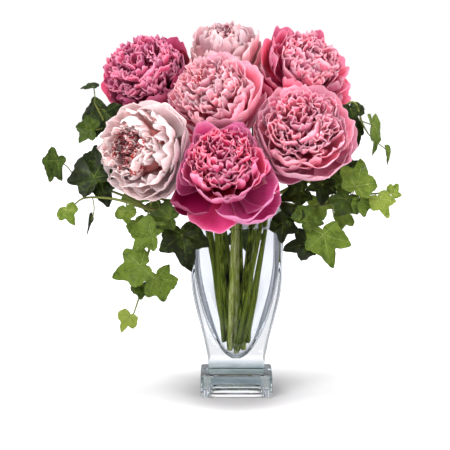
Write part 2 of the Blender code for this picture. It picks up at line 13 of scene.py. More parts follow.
import bpy
import numpy as np
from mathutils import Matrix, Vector


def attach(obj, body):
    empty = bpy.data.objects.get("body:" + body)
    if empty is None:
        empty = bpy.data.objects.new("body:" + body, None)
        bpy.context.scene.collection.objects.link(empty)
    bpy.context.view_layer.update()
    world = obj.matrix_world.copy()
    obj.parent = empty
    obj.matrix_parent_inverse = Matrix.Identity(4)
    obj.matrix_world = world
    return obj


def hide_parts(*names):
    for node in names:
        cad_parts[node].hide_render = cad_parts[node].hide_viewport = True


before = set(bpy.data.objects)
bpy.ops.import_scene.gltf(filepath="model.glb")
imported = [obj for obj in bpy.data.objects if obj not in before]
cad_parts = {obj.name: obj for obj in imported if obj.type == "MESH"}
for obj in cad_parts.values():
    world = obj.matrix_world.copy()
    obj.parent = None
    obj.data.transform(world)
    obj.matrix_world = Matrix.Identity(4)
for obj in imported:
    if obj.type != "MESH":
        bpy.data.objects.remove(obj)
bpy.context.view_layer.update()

MM = 0.001
# Edges that turn by more degrees than this look sharp
GLASS_CREASE, WATER_CREASE, PETAL_CREASE, STEM_CREASE, IVY_CREASE = 35, 50, 80, 60, 70

# -------- vase and water
FOOT_HALF = 45.0
FOOT_HEIGHT = 27.0
FOOT_BEVEL = 1.6
NECK_HALF = 34.5  # where the body grows out of the foot
SHOULDER_Z = 160.0  # the flare ends here, and the walls go straight up
SHOULDER_HALF = 56.8
RIM_Z = 235.0
RIM_HALF = 57.5
BODY_CORNER = 5.0  # corner radius of the square body
WALL = 3.2  # wall thickness at the rim
CAVITY_FLOOR = 45.0
CAVITY_SHOULDER = 175.0
CAVITY_HALF = 53.5  # half the hollow's width at its shoulder
BOWL_TOP, BOWL_FOOT = 1.4, 0.53  # exponents: how the bowl eases into the walls, and how round its foot is
ROUND_FOOT, SQUARED = 0.92, 0.62  # how round the hollow's plan is at its foot, and how much of that it loses
WATER_LEVEL = 212.0
WET = 0.12  # the water wets the glass, so its skin lies this far inside the glass
# The stepped hollow under the foot, from its roof down to the floor: half width and height
WELL = [
    (20.0, 14.0), (30.0, 13.6), (31.4, 12.2), (31.6, 9.6), (33.4, 7.8), (33.6, 5.0), (35.6, 3.0), (36.0, 0.0)]
WELL_CORNER = 5.0
# The curve from the foot into the body, and the rim's rounded edge: how far out of the neck or in from the
# rim, how much rounder than the body's corner, and how far above the foot or below the rim
FILLET = [(2.2, 2.0, 0.0), (0.7, 1.0, 0.7)]
RIM_EDGE = [(0.3, 0.0, 0.4), (1.0, 0.0, 0.0), (WALL - 0.6, 4.0, 0.0)]
BODY_FROM, BODY_TO = FOOT_HEIGHT + 3.0, RIM_Z - 1.2  # the plain walls, between the two
# The water's raised edge, where it clings to the glass: height over the level, and reach past the hollow
WATER_EDGE = [(0.8, WET), (0.8, -0.3), (0.2, -1.2), (0.0, -3.0)]
WATER_WALL = 1.0  # its wall ends this far below the level
CORNER_STEPS, BEVEL_STEPS = 8, 4
BODY_STEPS, BOWL_STEPS, UPRIGHT_STEPS = 28, 26, 6
BOWL_START = 1.0  # the bowl's first ring is this far above its floor
RIM_STEPS = (1.0, 2.0)  # the hollow's last two rings, below the rim
BOWL_CROWD = 2.2  # exponent that brings the bowl's rings closer together at its foot

# -------- stems in the vase
TWIST = radians(50)  # the bunch turns this much between the floor and the rim
GAP = 0.3  # clearance between pieces that touch
STEM_RADIUS = 3.7
STEM_FOOT_Z, STEM_FOOT_RING, STEM_RIM_RING = 56.0, 10.4, 26.0
STEM_SIDES, VINE_SIDES, PETIOLE_SIDES = 14, 8, 6
VINE_RADIUS, VINE_TIP_RADIUS = 2.7, 0.9
VINE_FOOT_Z, VINE_FOOT_RING, VINE_RIM_RING = 66.0, 18.2, 41.0
VINE_RISE = 9.0  # a vine goes straight on for this far above the rim
CENTRE_FOOT_Z = 51.0
FIRST_SEAT, SEAT_STEP = -155.0, 60.0  # degrees round the mouth, for the stems that stand round the middle one
PATH_STEPS = 6  # stretches of a stem's curve in the frame, where its leaves are rooted
FINE = 4  # each of them is this many steps here
STEM_STEPS, VINE_STEPS, ROUTE_STEPS = 16, 12, 8  # in the vase, and between two points of a vine's route
STEM_RISE, STEM_BEND = 0.50, 0.26  # how strongly its curve follows the stem in the vase, and the bloom's axis

# -------- petals
CROWD_BAND = 12.0  # petals begin to give way this far from a neighbouring bloom
CROWD_GAP = 0.5  # and their middle surface stops this far from the border
GOLDEN = radians(137.508)
BASE_DEPTH = 0.70  # the receptacle's underside, in ball radii below the ball's middle
RECEPTACLE_RADIUS = 8.0
CORE = [(0.30, -0.50), (0.46, -0.20), (0.50, 0.12), (0.38, 0.36), (0.14, 0.48)]  # out and up, in ball radii
CORE_SIDES = 16
# The core is a dark filler in the heart: painted shade for its depths, which also blocks the view through gaps
CORE_MARKS = (0.0, 0.0, 0.5)  # it is coloured as the root of a petal of middling tint
VASE_SIDE = (0.0, 0.8, -0.6)  # the way from the front bloom to the vase
VASE_SIDE_REACH = 48.0  # the front bloom's petals stay this near its middle on that side
GUARD_THICK, RUFFLE_THICK, SEPAL_THICK = 0.6, 0.4, 0.8
CUPPED_WHORLS = 3
ROOT_OUT = 5.0  # how far from the axis a guard petal grows
ROOT_WIDTH, WIDEST = 0.28, 0.75  # a petal's width at its root, and how far along it is at its widest
NOTCH_WIDTH = 0.16  # of half the petal's width

# Name, the ball's middle and radius, the guard petals' reach, the way it faces in degrees, and the numbers of
# guard petals and of the frame's own inner petals
Bloom = namedtuple("Bloom", "name middle ball reach azimuth elevation guards inner")
BLOOMS = [
    Bloom("peony_front_hot_pink", (-16, -85, 289), 52, 92, -94, 33, 7, 7),
    Bloom("peony_left_blush", (-110, -60, 310), 55, 68, -120, 6, 6, 6),
    Bloom("peony_right_mid_pink", (79, -55, 330), 55, 76, -94, 30, 6, 6),
    Bloom("peony_upper_right_rose", (84, 40, 400), 53, 74, -64, 42, 6, 7),
    Bloom("peony_middle_light_pink", (-27, -15, 371), 54, 74, -114, 36, 6, 6),
    Bloom("peony_top_pale_pink", (-12, 66, 415), 50, 62, -100, 62, 5, 7),
    Bloom("peony_upper_left_magenta", (-110, 35, 394), 55, 72, -112, 38, 6, 6),
]

# How each bloom looks, in the order above: 0-255 screen colours of a ruffled petal's base, middle and edge, of
# a guard's middle and edge, and of the flecks; the number of ruffled petals, how far round the ball they reach,
# the cupped petals in a whorl, the lean of the outermost, and how far the flecks reach, with angles in degrees;
# and how far the guards' tips curl.  The dark bases are partly painted shade deep among the petals, and the
# pale edges partly painted highlight.
Style = namedtuple("Style", "base middle edge guard guard_edge fleck ruffles heart cupped outer flecked curl")
STYLES = [
    Style((210, 40, 102), (232, 88, 144), (250, 184, 208), (250, 108, 182), (252, 178, 216), (120, 10, 50),
          96, 50, 6, 62, 0, 5),
    Style((238, 150, 148), (254, 226, 226), (255, 244, 243), (254, 236, 237), (255, 243, 243), (184, 50, 60),
          58, 36, 8, 72, 24, 2),
    Style((222, 92, 138), (244, 158, 186), (252, 212, 224), (250, 168, 200), (253, 208, 222), (170, 50, 90),
          104, 56, 6, 68, 0, 3),
    Style((214, 60, 112), (230, 136, 166), (252, 206, 218), (238, 76, 134), (246, 158, 190), (150, 30, 80),
          90, 46, 6, 70, 0, -5),
    Style((238, 122, 150), (250, 186, 202), (254, 224, 230), (252, 168, 196), (253, 212, 226), (190, 60, 90),
          92, 50, 6, 68, 10, 1),
    Style((222, 128, 146), (232, 184, 192), (248, 226, 228), (232, 184, 194), (246, 220, 224), (160, 70, 90),
          44, 27, 7, 62, 12, 1),
    Style((182, 40, 98), (222, 110, 156), (248, 184, 210), (196, 36, 90), (222, 104, 150), (90, 10, 50),
          112, 62, 6, 72, 0, 2),
]

# Guards that lie in their bloom's shade, counted round the bloom, which get painted shade, and what marks them:
# their tint lies this much lower, which makes them darker, more saturated and deeper in hue
PAINTED_SHADE_GUARDS = {"peony_front_hot_pink": (4, 11), "peony_upper_left_magenta": (1, 6)}
PAINTED_SHADE_DROP = 2.0

# -------- leaves
LEAF_THICK = 0.7
RIM_SHARE, IVY_RIM_SHARE = 0.45, 0.5  # a blade's thickness at its rim, as a share of the rest
PETIOLE_RADIUS, PETIOLE_STEPS = 0.75, 4
STALK_AT = 0.30  # the stalk joins this far behind the blade's middle, in blade lengths
VEIN_ANGLES = (0, 60, 122)  # the main veins, in degrees from the tip
VEIN_CREASE = 0.22
# Lobes and the notches between them: degrees from the tip, and length
IVY_CORNERS = [(0, 1.0), (29, 0.62), (60, 0.82), (90, 0.52), (122, 0.60), (165, 0.26)]
YOUNG_IVY_CORNERS = [(0, 1.0), (29, 0.62), (60, 0.80), (115, 0.54), (165, 0.26)]
YOUNG_SIZE = 32.0
BLADE_SHARE = 0.76  # the tip lobe's length, as a share of the blade's
LEAF_FOLD, LEAF_DROOP = 0.22, 0.14  # how far the blade's halves rise from its midrib, and its rim droops
LOBE_TURN, LOBE_STRETCH = 4.5, 0.10  # how far a leaf's lobes differ from these, in degrees and in share
WAVE, RIPPLE = 0.028, 0.012  # heights of a leaf's waves, as shares of its length
STALK_NOTCH = 0.16  # the blade's length beside its stalk
LOBE_HOLLOW = 1.15  # exponent of a lobe's sides: 1 is straight, and more is hollow
LEAF_ANGLES, LEAF_RINGS = 72, 6

# A leaf: blade middle x, y, z, blade length, tip direction as seen from the front (0 right, 90 up),
# and the way its upper face looks: turn from the front to the right, and nod upwards, all in degrees
Leaf = namedtuple("Leaf", "x y z size tip turn nod")
# A vine: its place round the mouth of the vase in degrees, the points it passes above the rim, and its leaves
Vine = namedtuple("Vine", "name seat route leaves")
VINES = [
    Vine("ivy_upper_left", 158, [(-96, -2, 246), (-140, 0, 294), (-163, 4, 336), (-178, 2, 366)], [
        (-170, 4, 341, 52, -100, -20, 25), (-190, -10, 334, 33, 170, -15, 20),
        (-186, 0, 385, 26, 175, -10, 74), (-176, -8, 306, 24, 120, -30, 30)]),
    Vine("ivy_left", 182, [(-92, -20, 231), (-139, -20, 250), (-177, -16, 265), (-206, -14, 280)], [
        (-184, -28, 287, 60, 130, -20, 25), (-166, -32, 260, 48, -75, -10, 20),
        (-228, -18, 283, 44, -115, -45, 10), (-150, -8, 282, 30, 80, -40, 45)]),
    Vine("ivy_left_tip", 206, [(-95, -38, 234), (-148, -42, 248), (-186, -38, 250), (-203, -34, 240)], [
        (-207, -38, 228, 27, -60, -20, 15), (-182, -36, 216, 26, -115, -75, 20),
        (-136, -44, 228, 26, -80, -10, 15)]),
    Vine("ivy_lower_left", 230, [(-62, -62, 242), (-98, -70, 208), (-112, -62, 172), (-119, -58, 134),
        (-127, -54, 108)], [
        (-92, -74, 230, 38, 170, -10, 30), (-64, -82, 192, 58, -82, 10, 20),
        (-116, -78, 210, 46, 168, -15, 25), (-131, -72, 164, 50, 200, -15, 20),
        (-93, -68, 141, 44, -72, 15, 10), (-117, -66, 136, 26, -95, -10, 20),
        (-137, -56, 97, 27, -120, -15, 15)]),
    Vine("ivy_upper_right", 14, [(81, 14, 268), (122, 14, 318), (137, 12, 360), (150, 10, 364),
        (158, 6, 340), (166, 4, 326)], [
        (146, 4, 350, 30, -80, 25, 20), (148, -2, 326, 36, -85, 50, 10), (172, 2, 322, 52, -92, 72, 10),
        (189, 2, 300, 26, -95, 75, 10)]),
    Vine("ivy_right", -10, [(92, -16, 236), (136, -16, 247), (164, -14, 252), (188, -12, 254)], [
        (152, -24, 276, 50, 65, 20, 25), (131, -30, 238, 38, -120, 10, 20),
        (157, -26, 236, 30, -75, 20, 15), (182, -26, 238, 34, -70, 15, 25), (198, -12, 258, 20, 45, 20, 20),
        (106, -30, 256, 36, -100, 10, 35), (138, -8, 292, 34, 80, 30, 20), (70, -34, 254, 38, 200, 0, 25)]),
    Vine("ivy_lower_right", -34, [(60, -56, 243), (90, -62, 218), (106, -60, 192)], [
        (62, -70, 236, 36, 120, 5, 35), (89, -70, 232, 38, 45, 15, 30), (56, -72, 212, 34, -95, 5, 20),
        (76, -70, 194, 40, 190, -5, 20), (110, -72, 192, 54, -80, 10, 15)]),
    Vine("ivy_back_left", 118, [(-52, 78, 262), (-90, 104, 258), (-112, 112, 228), (-118, 116, 200)], [
        (-52, 92, 282, 44, 80, 175, 35), (-86, 120, 268, 46, 60, 190, 25),
        (-124, 122, 240, 42, -20, 200, 15), (-104, 124, 214, 36, -110, 180, 10),
        (-128, 118, 196, 28, -60, 200, 10)]),
    Vine("ivy_back_right", 62, [(52, 78, 262), (92, 104, 262), (122, 110, 236), (130, 112, 208)], [
        (48, 92, 280, 44, 100, 185, 35), (88, 120, 272, 48, 110, 175, 25),
        (132, 120, 252, 42, 200, 160, 15), (112, 122, 220, 36, -80, 175, 10),
        (140, 114, 204, 28, -110, 160, 10)]),
    Vine("ivy_back", 90, [(4, 80, 256), (2, 98, 240), (-2, 102, 212), (2, 100, 184)], [
        (20, 110, 234, 42, -40, 180, 20), (-20, 112, 214, 46, -130, 185, 15),
        (12, 108, 184, 44, -80, 180, 10)]),
]

# A stem's own leaves: share of the way from the rim to the bloom, azimuth, elevation, length
STEM_LEAVES = {
    "peony_front_hot_pink": [(0.30, -20, 10, 50)],
    "peony_left_blush": [(0.40, 150, 20, 66)],
    "peony_right_mid_pink": [(0.40, 40, 15, 66), (0.34, 110, 68, 90)],
    "peony_upper_right_rose": [(0.30, 60, 20, 80), (0.55, 15, 5, 60)],
    "peony_middle_light_pink": [(0.50, 20, 30, 60)],
    "peony_top_pale_pink": [(0.30, 95, 25, 84), (0.55, 150, 15, 60)],
    "peony_upper_left_magenta": [(0.30, 125, 20, 80), (0.55, 190, 10, 56)],
}
STEM_LEAF_WIDTH = 0.34  # of its length

# How each vine's leaves look, in the order above: dark, mid, light or young
LEAF_TONES = {
    "ivy_upper_left": "dmdd", "ivy_left": "ddmd", "ivy_left_tip": "ldl", "ivy_lower_left": "mdlllmy",
    "ivy_upper_right": "ddll", "ivy_right": "lmlyyddd", "ivy_lower_right": "dmddl",
    "ivy_back_left": "dmlml", "ivy_back_right": "dmmll", "ivy_back": "ddm",
}
TONES = {"d": 0.08, "m": 0.38, "l": 0.68, "y": 0.95}  # how far each is from deep green to yellow-green

# -------- view and light
VIEW_MIDDLE = (-14.364, 0.0, 212.011)
VIEW_DISTANCE = 2400.0
VIEW_ELEVATION = 6.0
LENS, SENSOR = 152.38, 36.0  # millimetres, as on a camera
# Square soft lights that look at the middle of the bunch: place and size in metres, and watts
LIGHTS = {
    "key": ((-1.0, -1.8, 1.6), 1.5, 42.0),
    "fill": ((1.6, -1.4, 0.8), 1.2, 16.0),
    "top": ((-0.1, -0.1, 1.9), 0.8, 30.0),
}
FLOOR_HALF, FLOOR_Z = 6.0, -0.0002  # metres
WORLD_LIGHT, WORLD_DARK = 1.0, 0.50  # the studio's walls, and how much darker its screens are
WORLD_SCREENS = 8
MIRRORED = (0.42, 0.43, 0.48, 1)  # what the glass mirrors of the walls
PAINTED_SHADOW_LENGTH = 0.47  # the painted soft shadow's width, as a share of its depth
WHITE = (1, 1, 1, 1)


# ======== vectors
def unit(v):
    v = np.asarray(v, float)
    return v / np.linalg.norm(v)


def direction(azimuth, elevation):
    """The unit vector that points this many degrees round from +X and up."""
    a, e = radians(azimuth), radians(elevation)
    return np.array([cos(a) * cos(e), sin(a) * cos(e), sin(e)])


def frame_of(axis):
    """Three unit vectors as rows, the third along axis, the first level."""
    side = unit(np.cross((0, 0, 1), axis)) if abs(axis[2]) < 0.99 else np.array([1.0, 0, 0])
    return np.array([side, np.cross(axis, side), axis])


def smooth_step(t):
    t = np.clip(t, 0, 1)
    return t * t * (3 - 2 * t)


# ======== shapes
class Shape:
    """Points, faces and a value at each point for the material to read, gathered piece by piece."""

    def __init__(self):
        self.points, self.faces, self.marks, self.kinds, self.count = [], [], [], [], 0

    def add(self, points, faces, marks=(0.0, 0.0, 0.0), kind=0.0):
        """marks is three values, for each point or for all of them; kind is one for all."""
        points = np.asarray(points, float)
        self.points.append(points)
        self.marks.append(np.broadcast_to(np.asarray(marks, float), points.shape))
        self.kinds.append(np.full(len(points), float(kind)))
        self.faces += [tuple(i + self.count for i in face) for face in faces]
        self.count += len(points)


def put(name, data):
    """An object of the scene that shows this data."""
    obj = bpy.data.objects.new(name, data)
    bpy.context.scene.collection.objects.link(obj)
    return obj


def make_object(name, shape, mat, crease):
    """The piece that takes the place of the frame's node of this name."""
    mesh = bpy.data.meshes.new(name)
    mesh.from_pydata((np.concatenate(shape.points) * MM).tolist(), [], shape.faces)
    marks = mesh.attributes.new("marks", "FLOAT_VECTOR", "POINT")
    marks.data.foreach_set("vector", np.concatenate(shape.marks).astype(np.float32).ravel())
    kind = mesh.attributes.new("kind", "FLOAT", "POINT")
    kind.data.foreach_set("value", np.concatenate(shape.kinds).astype(np.float32))
    mesh.materials.append(mat)
    mesh.shade_smooth()
    mesh.set_sharp_from_angle(angle=radians(crease))
    obj = put(name + "_looks", mesh)
    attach(obj, "root")
    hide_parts(name)
    return obj


def square_ring(half, corner, z):
    """A square with rounded corners, counter-clockwise from above."""
    inset = (half - corner) * sqrt(2)
    points = []
    for quarter in range(4):
        mid = (quarter + 0.5) * pi / 2
        for step in range(CORNER_STEPS + 1):
            turn = (quarter + step / CORNER_STEPS) * pi / 2
            points.append((inset * cos(mid) + corner * cos(turn),
                           inset * sin(mid) + corner * sin(turn), z))
    return points


def loft(rings):
    """Points and faces of a closed skin through rings of equal length, capped at both ends."""
    count = len(rings[0])
    points = [p for ring in rings for p in ring]
    faces = [tuple(reversed(range(count)))]
    for r in range(len(rings) - 1):
        for i in range(count):
            j = (i + 1) % count
            a, b = r * count, (r + 1) * count
            faces.append((a + i, a + j, b + j, b + i))
    faces.append(tuple(range((len(rings) - 1) * count, len(rings) * count)))
    return points, faces


def tube(path, radii, sides):
    """A closed tube along path, whose cross-sections turn with it."""
    path = np.asarray(path, float)
    along = [unit(path[min(i + 1, len(path) - 1)] - path[max(i - 1, 0)]) for i in range(len(path))]
    side = frame_of(along[0])[0]
    rings = []
    for point, forward, radius in zip(path, along, radii):
        side = unit(side - forward * np.dot(side, forward))
        up = np.cross(forward, side)
        turns = [2 * pi * k / sides for k in range(sides)]
        rings.append([point + radius * (cos(t) * side + sin(t) * up) for t in turns])
    return loft(rings)


def shell(middle, normal, half, faces, rim):
    """A closed skin on both sides of a middle surface, from its faces and the points round its rim."""
    count = len(middle)
    under = [tuple(i + count for i in reversed(face)) for face in faces]
    edge = [(i, j, j + count, i + count) for i, j in zip(rim, rim[1:] + rim[:1])]
    return np.concatenate([middle + normal * half, middle - normal * half]), faces + under + edge


def blade(grid, thickness):
    """A closed thin blade from a grid of middle points, thinner towards its rim."""
    rows, columns = grid.shape[:2]
    normal = np.cross(np.gradient(grid, axis=0), np.gradient(grid, axis=1))
    normal /= np.maximum(np.linalg.norm(normal, axis=-1, keepdims=True), 1e-9)
    half = np.full((rows, columns, 1), thickness / 2)
    for edge in (half[-1], half[:, 0], half[:, -1]):
        edge *= RIM_SHARE
    at = np.arange(rows * columns).reshape(rows, columns)
    quads = np.stack([at[:-1, :-1], at[1:, :-1], at[1:, 1:], at[:-1, 1:]], axis=-1).reshape(-1, 4).tolist()
    rim = np.concatenate([at[0], at[1:, -1], at[-1, -2::-1], at[-2:0:-1, 0]]).tolist()
    return shell(grid.reshape(-1, 3), normal.reshape(-1, 3), half.reshape(-1, 1), quads, rim)


def bezier(a, b, c, d, steps):
    a, b, c, d = (np.asarray(p, float) for p in (a, b, c, d))
    ts = [k / steps for k in range(steps + 1)]
    return [(1 - t) ** 3 * a + 3 * t * (1 - t) ** 2 * b + 3 * t * t * (1 - t) * c + t ** 3 * d for t in ts]


def smooth_path(points, steps):
    """A smooth curve through points, with this many steps between each two."""
    p = np.array(points, float)
    p = [2 * p[0] - p[1], *p, 2 * p[-1] - p[-2]]
    path = []
    for before, a, b, after in zip(p, p[1:], p[2:], p[3:]):
        path += bezier(a, a + (b - before) / 6, b - (after - a) / 6, b, steps)[:-1]
    return path + [p[-2]]


# ======== nodes
def screen(r, g, b):
    """A 0-255 screen colour as the linear colour that a shader takes."""
    return (*((c / 255 / 12.92 if c <= 10 else ((c / 255 + 0.055) / 1.055) ** 2.4) for c in (r, g, b)), 1.0)


class Term:
    """An output of a node, which sums can be written with like a number."""

    def __init__(self, graph, socket):
        self.graph, self.socket = graph, socket

    def __add__(self, other):
        return self.graph.math("ADD", self, other)

    def __sub__(self, other):
        return self.graph.math("SUBTRACT", self, other)

    def __rsub__(self, other):
        return self.graph.math("SUBTRACT", other, self)

    def __mul__(self, other):
        return self.graph.math("MULTIPLY", self, other)

    def __pow__(self, other):
        return self.graph.math("POWER", self, other)

    def __abs__(self):
        return self.graph.math("ABSOLUTE", self)


class Graph:
    """Builds the nodes of one material or of the world."""

    def __init__(self, owner):
        owner.use_nodes = True
        self.owner, self.tree = owner, owner.node_tree
        self.tree.nodes.clear()

    def node(self, kind, inputs=(), **settings):
        """A node with its settings, and its inputs by name or number, as terms or values."""
        made = self.tree.nodes.new("ShaderNode" + kind)
        for key, value in settings.items():
            setattr(made, key, value)
        for key, value in dict(inputs).items():
            if isinstance(value, Term):
                self.tree.links.new(value.socket, made.inputs[key])
            else:
                made.inputs[key].default_value = value
        return made

    def term(self, kind, inputs=(), out=0, **settings):
        return Term(self, self.node(kind, inputs, **settings).outputs[out])

    def math(self, operation, *values):
        return self.term("Math", enumerate(values), operation=operation)

    def here(self):
        return self.term("NewGeometry", out="Position")

    def split(self, vector):
        return [Term(self, socket) for socket in self.node("SeparateXYZ", {0: vector}).outputs]

    def join(self, x, y, z):
        return self.term("CombineXYZ", {0: x, 1: y, 2: z})

    def length(self, x, y):
        return self.math("SQRT", x * x + y * y)

    def span(self, value, low, high, to_low=0.0, to_high=1.0):
        """The value mapped smoothly from one range to another, within its ends."""
        return self.term("MapRange", {0: value, 1: low, 2: high, 3: to_low, 4: to_high},
                         interpolation_type="SMOOTHSTEP")

    def noise(self, vector, scale, detail=2.0, rough=0.5):
        inputs = {"Vector": vector, "Scale": scale, "Detail": detail, "Roughness": rough}
        return self.term("TexNoise", inputs, "Fac")

    def blend(self, factor, a, b, how="MIX"):
        return self.term("Mix", {0: factor, 6: a, 7: b}, 2, data_type="RGBA", blend_type=how)

    def ramp(self, factor, *stops):
        """A colour ramp through stops, each a place and a linear colour."""
        made = self.node("ValToRGB", {0: factor})
        made.color_ramp.interpolation = "EASE"
        while len(made.color_ramp.elements) < len(stops):
            made.color_ramp.elements.new(0.5)
        for element, (place, colour) in zip(made.color_ramp.elements, stops):
            element.position = place
            element.color = colour
        return Term(self, made.outputs[0])

    def screens(self, factor, *stops):
        """The same through 0-255 screen colours."""
        return self.ramp(factor, *((place, screen(*colour)) for place, colour in stops))

    def bump(self, height, strength, distance):
        return self.term("Bump", {"Height": height, "Strength": strength, "Distance": distance})

    def thin(self, share, colour, through, normal, **more):
        """A surface that lets a share of the light through, in a colour of its own.  more holds the shader's
        other inputs, with _ for a space."""
        named = {key.replace("_", " "): value for key, value in more.items()}
        surface = self.term("BsdfPrincipled", {"Base Color": colour, "Normal": normal, **named})
        lit = self.term("BsdfTranslucent", {"Color": through, "Normal": normal})
        return self.finish(self.term("MixShader", {0: share, 1: surface, 2: lit}))

    def finish(self, shader, **more):
        self.node("OutputMaterial", {"Surface": shader, **more})
        return self.owner


# ======== materials
def plant_graph(name):
    """The graph of a plant's material, the three values of its marks, and its kind."""
    g = Graph(bpy.data.materials.new(name))
    marks = g.term("Attribute", out="Vector", attribute_name="marks")
    return g, g.split(marks), g.term("Attribute", out="Fac", attribute_name="kind")


def petal_material(name, style):
    """Soft petals, darker at the root and pale at the rim: partly their own colour, and partly painted shade
    where the petals crowd at their roots and painted highlight on their rims.  marks holds the share of the way
    from root to rim, the place across from -1 to 1, and a tint from 0 to 1, or below 0 on a guard with painted
    shade.  kind is 0 on a guard, up to 1 on a cupped or ruffled petal, and 2 on one with flecks."""
    g, (along, across, tint), kind = plant_graph(name)
    streaks = g.noise(g.join(across * 9.0, along * 1.3, tint * 37.0), 1.6, 4.0, 0.65)
    blotches = g.noise(g.here(), 55.0, 3.0, 0.6)
    place = along + (blotches - 0.5) * 0.22
    # From a dark root, partly painted shade among the crowded petals, to a pale edge, partly painted highlight
    ruffle = g.screens(place, (0.30, style.base), (0.66, style.middle), (0.84, style.middle),
                       (0.97, style.edge))
    rim = g.math("MAXIMUM", place, abs(across) ** 4.0 - 0.10)
    guard = g.screens(rim, (0.10, style.base), (0.46, style.guard), (0.62, style.guard),
                      (1.0, style.guard_edge))
    colour = g.blend(g.math("MINIMUM", kind, 1.0), guard, ruffle)
    speck = g.noise(g.join(across * 3.0, along * 4.0, tint * 91.0), 2.2, 2.0, 0.6)
    flecked = g.span(kind, 1.4, 1.6) * g.span(speck, 0.40, 0.56)
    colour = g.blend(flecked, colour, screen(*style.fleck))
    value = g.span(streaks, 0.25, 0.75, 0.95, 1.04) * g.span(tint, 0.0, 1.0, 0.84, 1.12)
    # A tint below 0 paints shade on a guard: lower value, more saturation and a deeper hue
    colour = g.term("HueSaturation", {
        "Hue": g.span(tint, 0.0, 1.0, 0.492, 0.508) + g.span(tint, -1.0, 0.0, 0.034, 0.0),
        "Saturation": g.span(streaks, 0.3, 0.7, 1.05, 0.97) * g.span(tint, -1.0, 0.0, 1.45, 1.0),
        "Value": value * g.span(tint, -1.0, 0.0, 0.52, 1.0), "Color": colour})
    normal = g.bump(streaks * 0.6 + blotches * 0.8, 0.30, 0.0006)
    return g.thin(0.42, colour, colour, normal, Roughness=g.span(streaks, 0.2, 0.8, 0.48, 0.66),
                  Specular_IOR_Level=0.15, Sheen_Weight=0.10, Sheen_Roughness=0.5)


def ivy_material():
    """Ivy blades with pale veins, on vines that are young and green in the vase.  On a blade, marks holds the
    place across and towards the tip, in blade lengths, and a tone from deep to yellow green, and kind is 1.
    On a vine, marks is as on a stem, and kind is 0."""
    g, (x, y, tone), kind = plant_graph("ivy_leaf")
    here = g.here()
    radius = g.length(x, y)
    angle = abs(g.math("ARCTAN2", x, y))
    off_vein = angle
    for lobe in VEIN_ANGLES[1:]:
        off_vein = g.math("MINIMUM", off_vein, abs(angle - radians(lobe)))
    vein = radius * g.math("SINE", off_vein)
    ribs = abs(g.math("SINE", (radius - vein * 0.9) * 34.0))
    veins = g.math("MAXIMUM", 1.0 - g.span(vein, 0.004, 0.022), (1.0 - g.span(ribs, 0.0, 0.30)) * 0.45)
    veins = veins * g.span(radius, 0.95, 0.25)
    patches = g.noise(here, 90.0, 4.0, 0.6)
    mottle = g.noise(here, 260.0, 3.0, 0.7)
    tone = tone + (patches - 0.5) * 0.85 + (mottle - 0.5) * 0.80 + (0.45 - radius) * 0.20
    body = g.screens(tone, (0.0, (20, 26, 6)), (0.35, (56, 72, 20)), (0.70, (92, 112, 34)),
                     (1.0, (126, 140, 54)))
    pale = g.screens(tone, (0.0, (62, 80, 36)), (0.35, (104, 126, 56)), (1.0, (176, 192, 112)))
    leaf = g.blend(veins * 0.55, body, pale)
    grain = g.noise(g.join(x * 1.5, y * 6.0, tone), 6.0, 3.0, 0.6)
    young = g.screens(grain, (0.3, (70, 92, 8)), (0.7, (162, 180, 60)))
    bark = g.screens(grain, (0.3, (66, 70, 30)), (0.7, (128, 136, 66)))
    across, deep, _ = g.split(here)
    bark = g.blend(g.span(g.length(across, deep), 0.046, 0.066), young, bark)
    colour = g.blend(kind, bark, leaf)
    normal = g.bump(patches + mottle * 0.3 - veins, 0.7, 0.0009)
    return g.thin(kind * 0.16, colour, g.blend(0.5, colour, screen(150, 190, 40)), normal,
                  Roughness=g.span(patches, 0.3, 0.7, 0.34, 0.50), Specular_IOR_Level=0.16)


def stem_material():
    """Cut stems, streaked along their length, with pale streaks that are partly their own colour and partly
    painted highlight, and their leaves.  On a stem, marks holds the way along it in centimetres, the way round
    and a tint, and kind is 0; on a leaf, it is as on a petal, and kind is 1."""
    g, (along, across, tint), kind = plant_graph("peony_stem")
    streaks = g.noise(g.join(along * 0.35, across * 3.0, tint * 17.0), 1.7, 4.0, 0.6)
    # The palest streaks are partly the stems' own colour and partly painted highlight
    stem = g.screens(streaks + (tint - 0.5) * 0.36, (0.28, (36, 48, 6)), (0.42, (112, 132, 30)),
                     (0.56, (178, 194, 80)), (0.74, (236, 240, 166)))
    midrib = 1.0 - g.span(abs(across), 0.01, 0.07)
    ribs = 1.0 - g.span(abs(g.math("SINE", along * 26.0 - abs(across) * 9.0)), 0.0, 0.25)
    veins = g.math("MAXIMUM", midrib, ribs * 0.4)
    green = g.screens(tint + (streaks - 0.5) * 0.4, (0.0, (26, 44, 24)), (0.6, (58, 86, 36)),
                      (1.0, (96, 128, 48)))
    leaf = g.blend(veins * 0.6, green, screen(128, 150, 84))
    colour = g.blend(kind, stem, leaf)
    normal = g.bump(streaks - veins * kind, 0.4, 0.0006)
    return g.thin(kind * 0.14, colour, colour, normal, Roughness=g.span(streaks, 0.3, 0.7, 0.36, 0.52),
                  Specular_IOR_Level=0.08)


